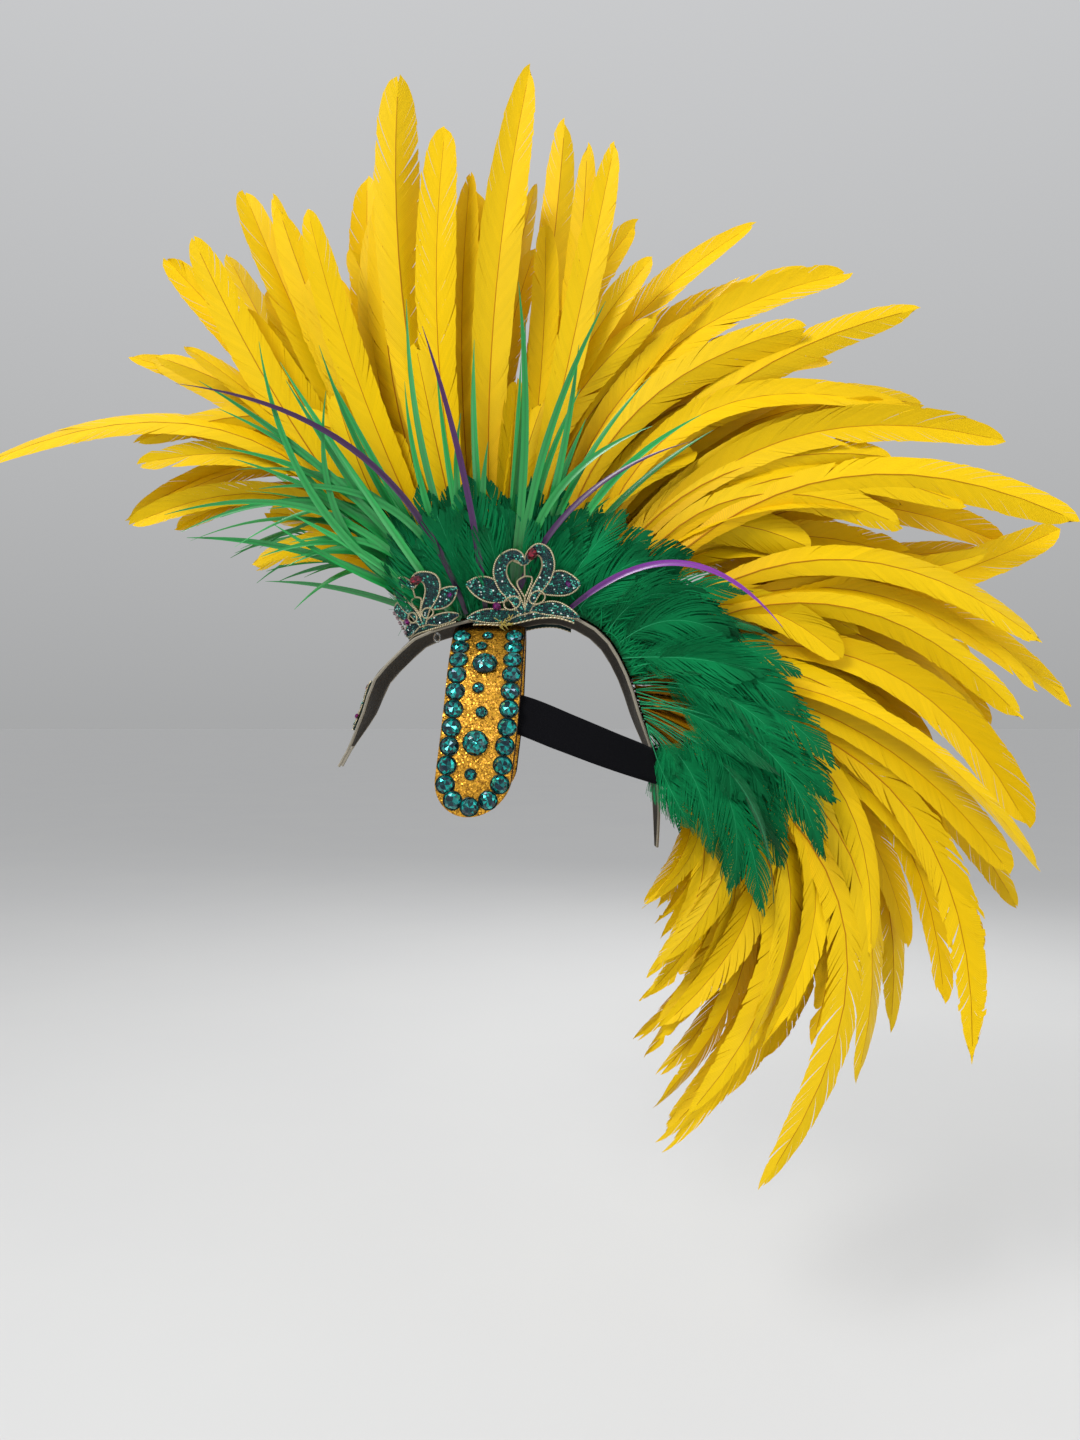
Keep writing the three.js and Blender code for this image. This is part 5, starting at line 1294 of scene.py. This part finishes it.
class HEADDRESS_OT_beadwork(bpy.types.Operator):
    """Adds the beaded swan motifs: net, beads, cord rims and stones."""

    bl_idname = "headdress.beadwork"
    bl_label = "Beadwork"

    def execute(self, context):
        rng = np.random.default_rng(8)
        bead = context.scene.headdress_stones.bead_diameter / MM
        finishes = self.finishes()
        for name, width, height, place, sign in self.motifs():
            slabs, rims, beads = motif_shapes(width, height, bead, rng)
            net, cords, pearls = Mesh(), Mesh(), Mesh()
            for slab in slabs:
                spots = mirrored(place(*np.moveaxis(slab, -1, 0)), sign)
                net.grids(spots[None], ring=True, caps=True, outward=True)
            for rim in rims:
                line = mirrored(place(*rim.T), sign)[None]
                ring = tube(line, np.full(line.shape[:2], CORD_RADIUS), CORD_SIDES)
                turn = np.arange(line.shape[1])[:, None] + np.arange(CORD_SIDES) / CORD_SIDES
                cords.grids(ring, ring=True, caps=True, outward=True, comb=turn[None])
            add_beads(pearls, mirrored(place(*beads.T), sign), bead / 2, rng)
            net.make(f"{name}_net", finishes["net"], "beadwork", [name])
            cords.make(f"{name}_rims", finishes["rim"], "beadwork")
            pearls.make(f"{name}_beads", finishes["bead"], "beadwork")
            for k, (x, y, diameter, kind) in enumerate(MOTIF_STONES, 1):
                size = diameter * height / MOTIF_BASE_HEIGHT
                stone, spot = Mesh(), (x * width / 2, y * height, MOTIF_WALL * 1.15)
                seat_stone(stone, brilliant(size, size * MOTIF_STONE_RISE, 8), spot, place, sign, rng)
                stone.make(f"{name}_stone_{k}", finishes[kind], "beadwork", smooth=False)
            self.trim(name, width, height, place, sign, finishes, rng)
        drop = Finish("clear_drop", Roughness=0.05, Transmission_Weight=0.85, IOR=1.48)
        drop.set(Base_Color=drop.mix(drop.noise(400.0), (0.75, 0.78, 0.76), (0.95, 0.95, 0.93)))
        dress("drop_loop", drop.bump(drop.noise(300.0), 0.1, 0.0003).material)
        return {"FINISHED"}

    def trim(self, name, width, height, place, sign, finishes, rng):
        """The front motifs' edge of small pale crystals, and the side motifs' patch of loose stitches."""
        extra = Mesh()
        if name.startswith("applique_front"):
            shape = brilliant(CRYSTAL_DIAMETER, CRYSTAL_HEIGHT, 8)
            for x, y in CRYSTALS:
                seat_stone(extra, shape, (x * width / 2, y * height, CRYSTAL_LIFT), place, sign, rng)
            extra.make(f"{name}_crystals", finishes["crystal"], "beadwork", smooth=False)
        elif name.startswith("applique_side"):
            start = rng.uniform((-17.0, -1.5), (-9.0, 3.0), (STITCHES, 2))
            end = start + rng.uniform((-3.5, -4.5), (3.5, 4.5), (STITCHES, 2))
            t = np.linspace(0, 1, 6)[:, None]
            line = start[:, None] * (1 - t) + end[:, None] * t
            arch = 2.2 + 0.9 * np.sin(np.pi * t[:, 0]) + np.zeros(line.shape[:2])
            spots = mirrored(place(line[..., 0], line[..., 1], arch), sign)
            threads = tube(spots, np.full(spots.shape[:2], STITCH_RADIUS), 5)
            extra.grids(threads, ring=True, caps=True, outward=True)
            extra.make(f"{name}_stitches", finishes["thread"], "beadwork")

    def motifs(self):
        """Each motif's name, size, way onto the headdress and side. A way turns places in the motif's plane
        (x across, y up, z outwards) into places on the headdress: leaning out beside the crown band, leaning
        out from a curved foot at its front edge, or lying on the band over the forehead."""
        centre = crown_share(lambda x, z: x > SIDE_CENTRE)
        outside = BAND_HALF + SEAT_GAP + BAND_WALL + SEAT_GAP
        foot = spline(np.array([
            crown_point(crown_share(lambda x, z, a=ahead: x > -a), -out * BAND_HALF, BAND_WALL + 2 * SEAT_GAP)
            for ahead, out in FRONT_FOOT
        ]), 200)
        run = lengths(foot)
        slope = unit(np.gradient(foot, axis=0))

        ends = crown_point(centre + np.array([-SIDE_CHORD, SIDE_CHORD]) / CROWN_LENGTH, 0.0, 0.0)
        chord = unit(ends[1] - ends[0])
        upright = np.array([-chord[2], 0.0, chord[0]])

        def beside(x, y, z):
            """Along the crown band by x, up by y, aside by z and by y times the lean's tangent."""
            spots = crown_point(centre + x / CROWN_LENGTH, np.zeros_like(x), -SIDE_BELOW - BAND_CAMBER)
            spots = spots + upright * y[..., None]
            spots[..., 1] = -(outside + y * math.tan(SIDE_LEAN) + z)
            return spots

        def before(x, y, z):
            """Along the foot by x, up a leaning line by y, and along the foot's outward normal by z."""
            distance = np.clip(0.5 - x / run[-1], 0, 1) * run[-1]
            t = place_on(slope, run, distance)
            outward = unit(np.stack([-t[..., 1], t[..., 0], np.zeros(t.shape[:-1])], axis=-1))
            outward = outward * np.where(outward[..., 1:2] > 0, -1.0, 1.0)
            raised = outward * math.sin(FRONT_LEAN) + np.array([0, 0, math.cos(FRONT_LEAN)])
            return place_on(foot, run, distance) + raised * y[..., None] + outward * z[..., None]

        def above(x, y, z):
            """Up the crown band by y, aside by x, off it by z."""
            return crown_point((FOREHEAD_FOOT + y) / CROWN_LENGTH, x, BAND_WALL + SEAT_GAP + z)

        made = [("forehead_applique", *FOREHEAD_MOTIF, above, 1.0)]
        for side, sign in SIDES.items():
            made.append((f"applique_side_{side}", *SIDE_MOTIF, beside, sign))
            made.append((f"applique_front_{side}", *FRONT_MOTIF, before, sign))
        return made

    def finishes(self):
        """Materials of the beadwork; a bead's tone picks its colour from dark to white, and the bright mint
        and white steps are painted glints.
        """
        net = Finish("bead_net", Roughness=0.6, Specular_IOR_Level=0.4)
        net.set(Base_Color=net.mix(net.noise(900.0), (0.0, 0.012, 0.015), (0.005, 0.05, 0.045)))
        net.bump(net.cells(1400.0, "Distance"), 0.8, 0.0006)
        bead = Finish("bead", Roughness=0.12, Metallic=0.1, Specular_IOR_Level=0.4, Coat_Weight=0.2)
        tone, shade = bead.attribute("tone"), (0.0, 0.008, 0.02)
        # Painted glints: the bright mint and white steps stand in for light glinting off a few beads.
        for low, high, colour in (
            (0.3, 0.4, (0.0, 0.05, 0.055)), (0.58, 0.66, (0.0, 0.13, 0.095)), (0.82, 0.86, (0.08, 0.5, 0.38)),
            (0.955, 0.965, (0.85, 0.95, 0.9)),
        ):
            shade = bead.mix(bead.spread(tone, low, high), shade, colour)
        bead.set(Base_Color=shade)
        rim = Finish("gold_cord", Metallic=0.6, Roughness=0.35)
        twist = rim.math("SINE", rim.math("MULTIPLY", rim.attribute("comb"), 2 * math.pi))
        rim.set(Base_Color=rim.mix(rim.spread(twist, -1, 1), (0.3, 0.24, 0.12), (0.78, 0.69, 0.47)))
        rim.bump(twist, 0.7, 0.0003)
        thread = Finish("loose_thread", Roughness=0.75, Sheen_Weight=0.2)
        strand = thread.noise(2500.0)
        thread.set(Base_Color=thread.mix(strand, (0.2, 0.14, 0.01), (0.62, 0.5, 0.09)))
        thread.bump(strand, 0.4, 0.0002)
        return {
            "net": net.material, "bead": bead.material, "rim": rim.material, "thread": thread.material,
            "crystal": gem_finish("pale_crystal", (0.9, 0.72, 0.72), (0.2, 0.13, 0.15)),
            "ruby": gem_finish("ruby_stone", (0.36, 0.004, 0.035), (0.06, 0.0, 0.008)),
            "magenta": gem_finish("magenta_stone", (0.42, 0.004, 0.28), (0.08, 0.0, 0.07)),
            "purple": gem_finish("purple_stone", (0.2, 0.01, 0.22), (0.05, 0.0, 0.07)),
        }


class HEADDRESS_OT_stage(bpy.types.Operator):
    """Adds the floor, the soft lights, the pale surroundings and the camera."""

    bl_idname = "headdress.stage"
    bl_label = "Stage"

    def execute(self, context):
        floor = bpy.data.meshes.new("floor")
        corners = FLOOR_HALF * np.array([(-1, -1), (1, -1), (1, 1), (-1, 1)])
        floor.from_pydata([(x, y, FLOOR_HEIGHT) for x, y in corners], [], [(0, 1, 2, 3)])
        ground = bpy.data.objects.new("floor", floor)
        paint = Finish("floor_grey", Roughness=0.8)
        paint.set(Base_Color=paint.mix(paint.noise(3.0), (0.6, 0.6, 0.6), (0.63, 0.63, 0.62)))
        floor.materials.append(paint.material)
        context.scene.collection.objects.link(ground)
        context.scene.world = self.surroundings()
        context.scene.view_settings.view_transform = "Standard"
        for name, place, size, power in LIGHTS:
            light = bpy.data.lights.new(name, "AREA")
            light.shape, light.size, light.energy = "DISK", size, power
            lamp = bpy.data.objects.new(name, light)
            context.scene.collection.objects.link(lamp)
            away = np.array(place) - LIGHT_AIM
            lamp.location = place
            flat = math.hypot(away[0], away[1])
            lamp.rotation_euler = (math.atan2(flat, away[2]), 0.0, math.atan2(away[0], -away[1]))
        camera = bpy.data.cameras.new("camera")
        camera.lens, camera.sensor_width, camera.clip_start = LENS, SENSOR, NEAREST
        eye = bpy.data.objects.new("camera", camera)
        eye.location = EYE
        eye.rotation_euler = (math.pi / 2, 0.0, 0.0)
        context.scene.collection.objects.link(eye)
        context.scene.camera = eye
        return {"FINISHED"}

    def surroundings(self):
        """Pale surroundings that darken towards the horizon, where their grey is close to the floor's."""
        world = bpy.data.worlds.new("surroundings")
        world.use_nodes = True
        tree = world.node_tree
        place = tree.nodes.new("ShaderNodeTexCoord")
        parts = tree.nodes.new("ShaderNodeSeparateXYZ")
        ramp = tree.nodes.new("ShaderNodeValToRGB")
        ramp.color_ramp.elements[0].color = (0.5, 0.505, 0.51, 1)
        ramp.color_ramp.elements[1].color = (0.95, 0.96, 0.98, 1)
        back = tree.nodes["Background"]
        tree.links.new(place.outputs["Generated"], parts.inputs[0])
        tree.links.new(parts.outputs["Z"], ramp.inputs["Fac"])
        tree.links.new(ramp.outputs["Color"], back.inputs["Color"])
        back.inputs["Strength"].default_value = 0.78
        return world


OPERATORS = (
    HEADDRESS_OT_crown_band, HEADDRESS_OT_cross_band, HEADDRESS_OT_stones, HEADDRESS_OT_strap,
    HEADDRESS_OT_beadwork, HEADDRESS_OT_crest, HEADDRESS_OT_plumage, HEADDRESS_OT_biots, HEADDRESS_OT_stage,
)


class HEADDRESS_PT_pieces(bpy.types.Panel):
    """Lists the headdress's sizes, colours and pieces."""

    bl_label = "Headdress"
    bl_idname = "HEADDRESS_PT_pieces"
    bl_space_type = "VIEW_3D"
    bl_region_type = "UI"
    bl_category = "Headdress"

    def draw(self, context):
        for group in (
            context.scene.headdress_feathers, context.scene.headdress_bands, context.scene.headdress_stones
        ):
            for key in group.bl_rna.properties.keys():
                if key not in ("rna_type", "name"):
                    self.layout.prop(group, key)
        for operator in OPERATORS:
            self.layout.operator(operator.bl_idname)


CLASSES = (HeaddressFeathers, HeaddressBands, HeaddressStones, *OPERATORS, HEADDRESS_PT_pieces)


def register():
    """Registers the classes and hangs their sizes and colours on the scene."""
    for made in CLASSES:
        bpy.utils.register_class(made)
    bpy.types.Scene.headdress_feathers = bpy.props.PointerProperty(type=HeaddressFeathers)
    bpy.types.Scene.headdress_bands = bpy.props.PointerProperty(type=HeaddressBands)
    bpy.types.Scene.headdress_stones = bpy.props.PointerProperty(type=HeaddressStones)


def unregister():
    """Takes all of it off again."""
    for key in ("headdress_feathers", "headdress_bands", "headdress_stones"):
        delattr(bpy.types.Scene, key)
    for made in reversed(CLASSES):
        bpy.utils.unregister_class(made)


def main():
    """Registers the classes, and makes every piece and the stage."""
    register()
    for operator in OPERATORS:
        group, action = operator.bl_idname.split(".")
        getattr(getattr(bpy.ops, group), action)()


if __name__ == "__main__":
    main()
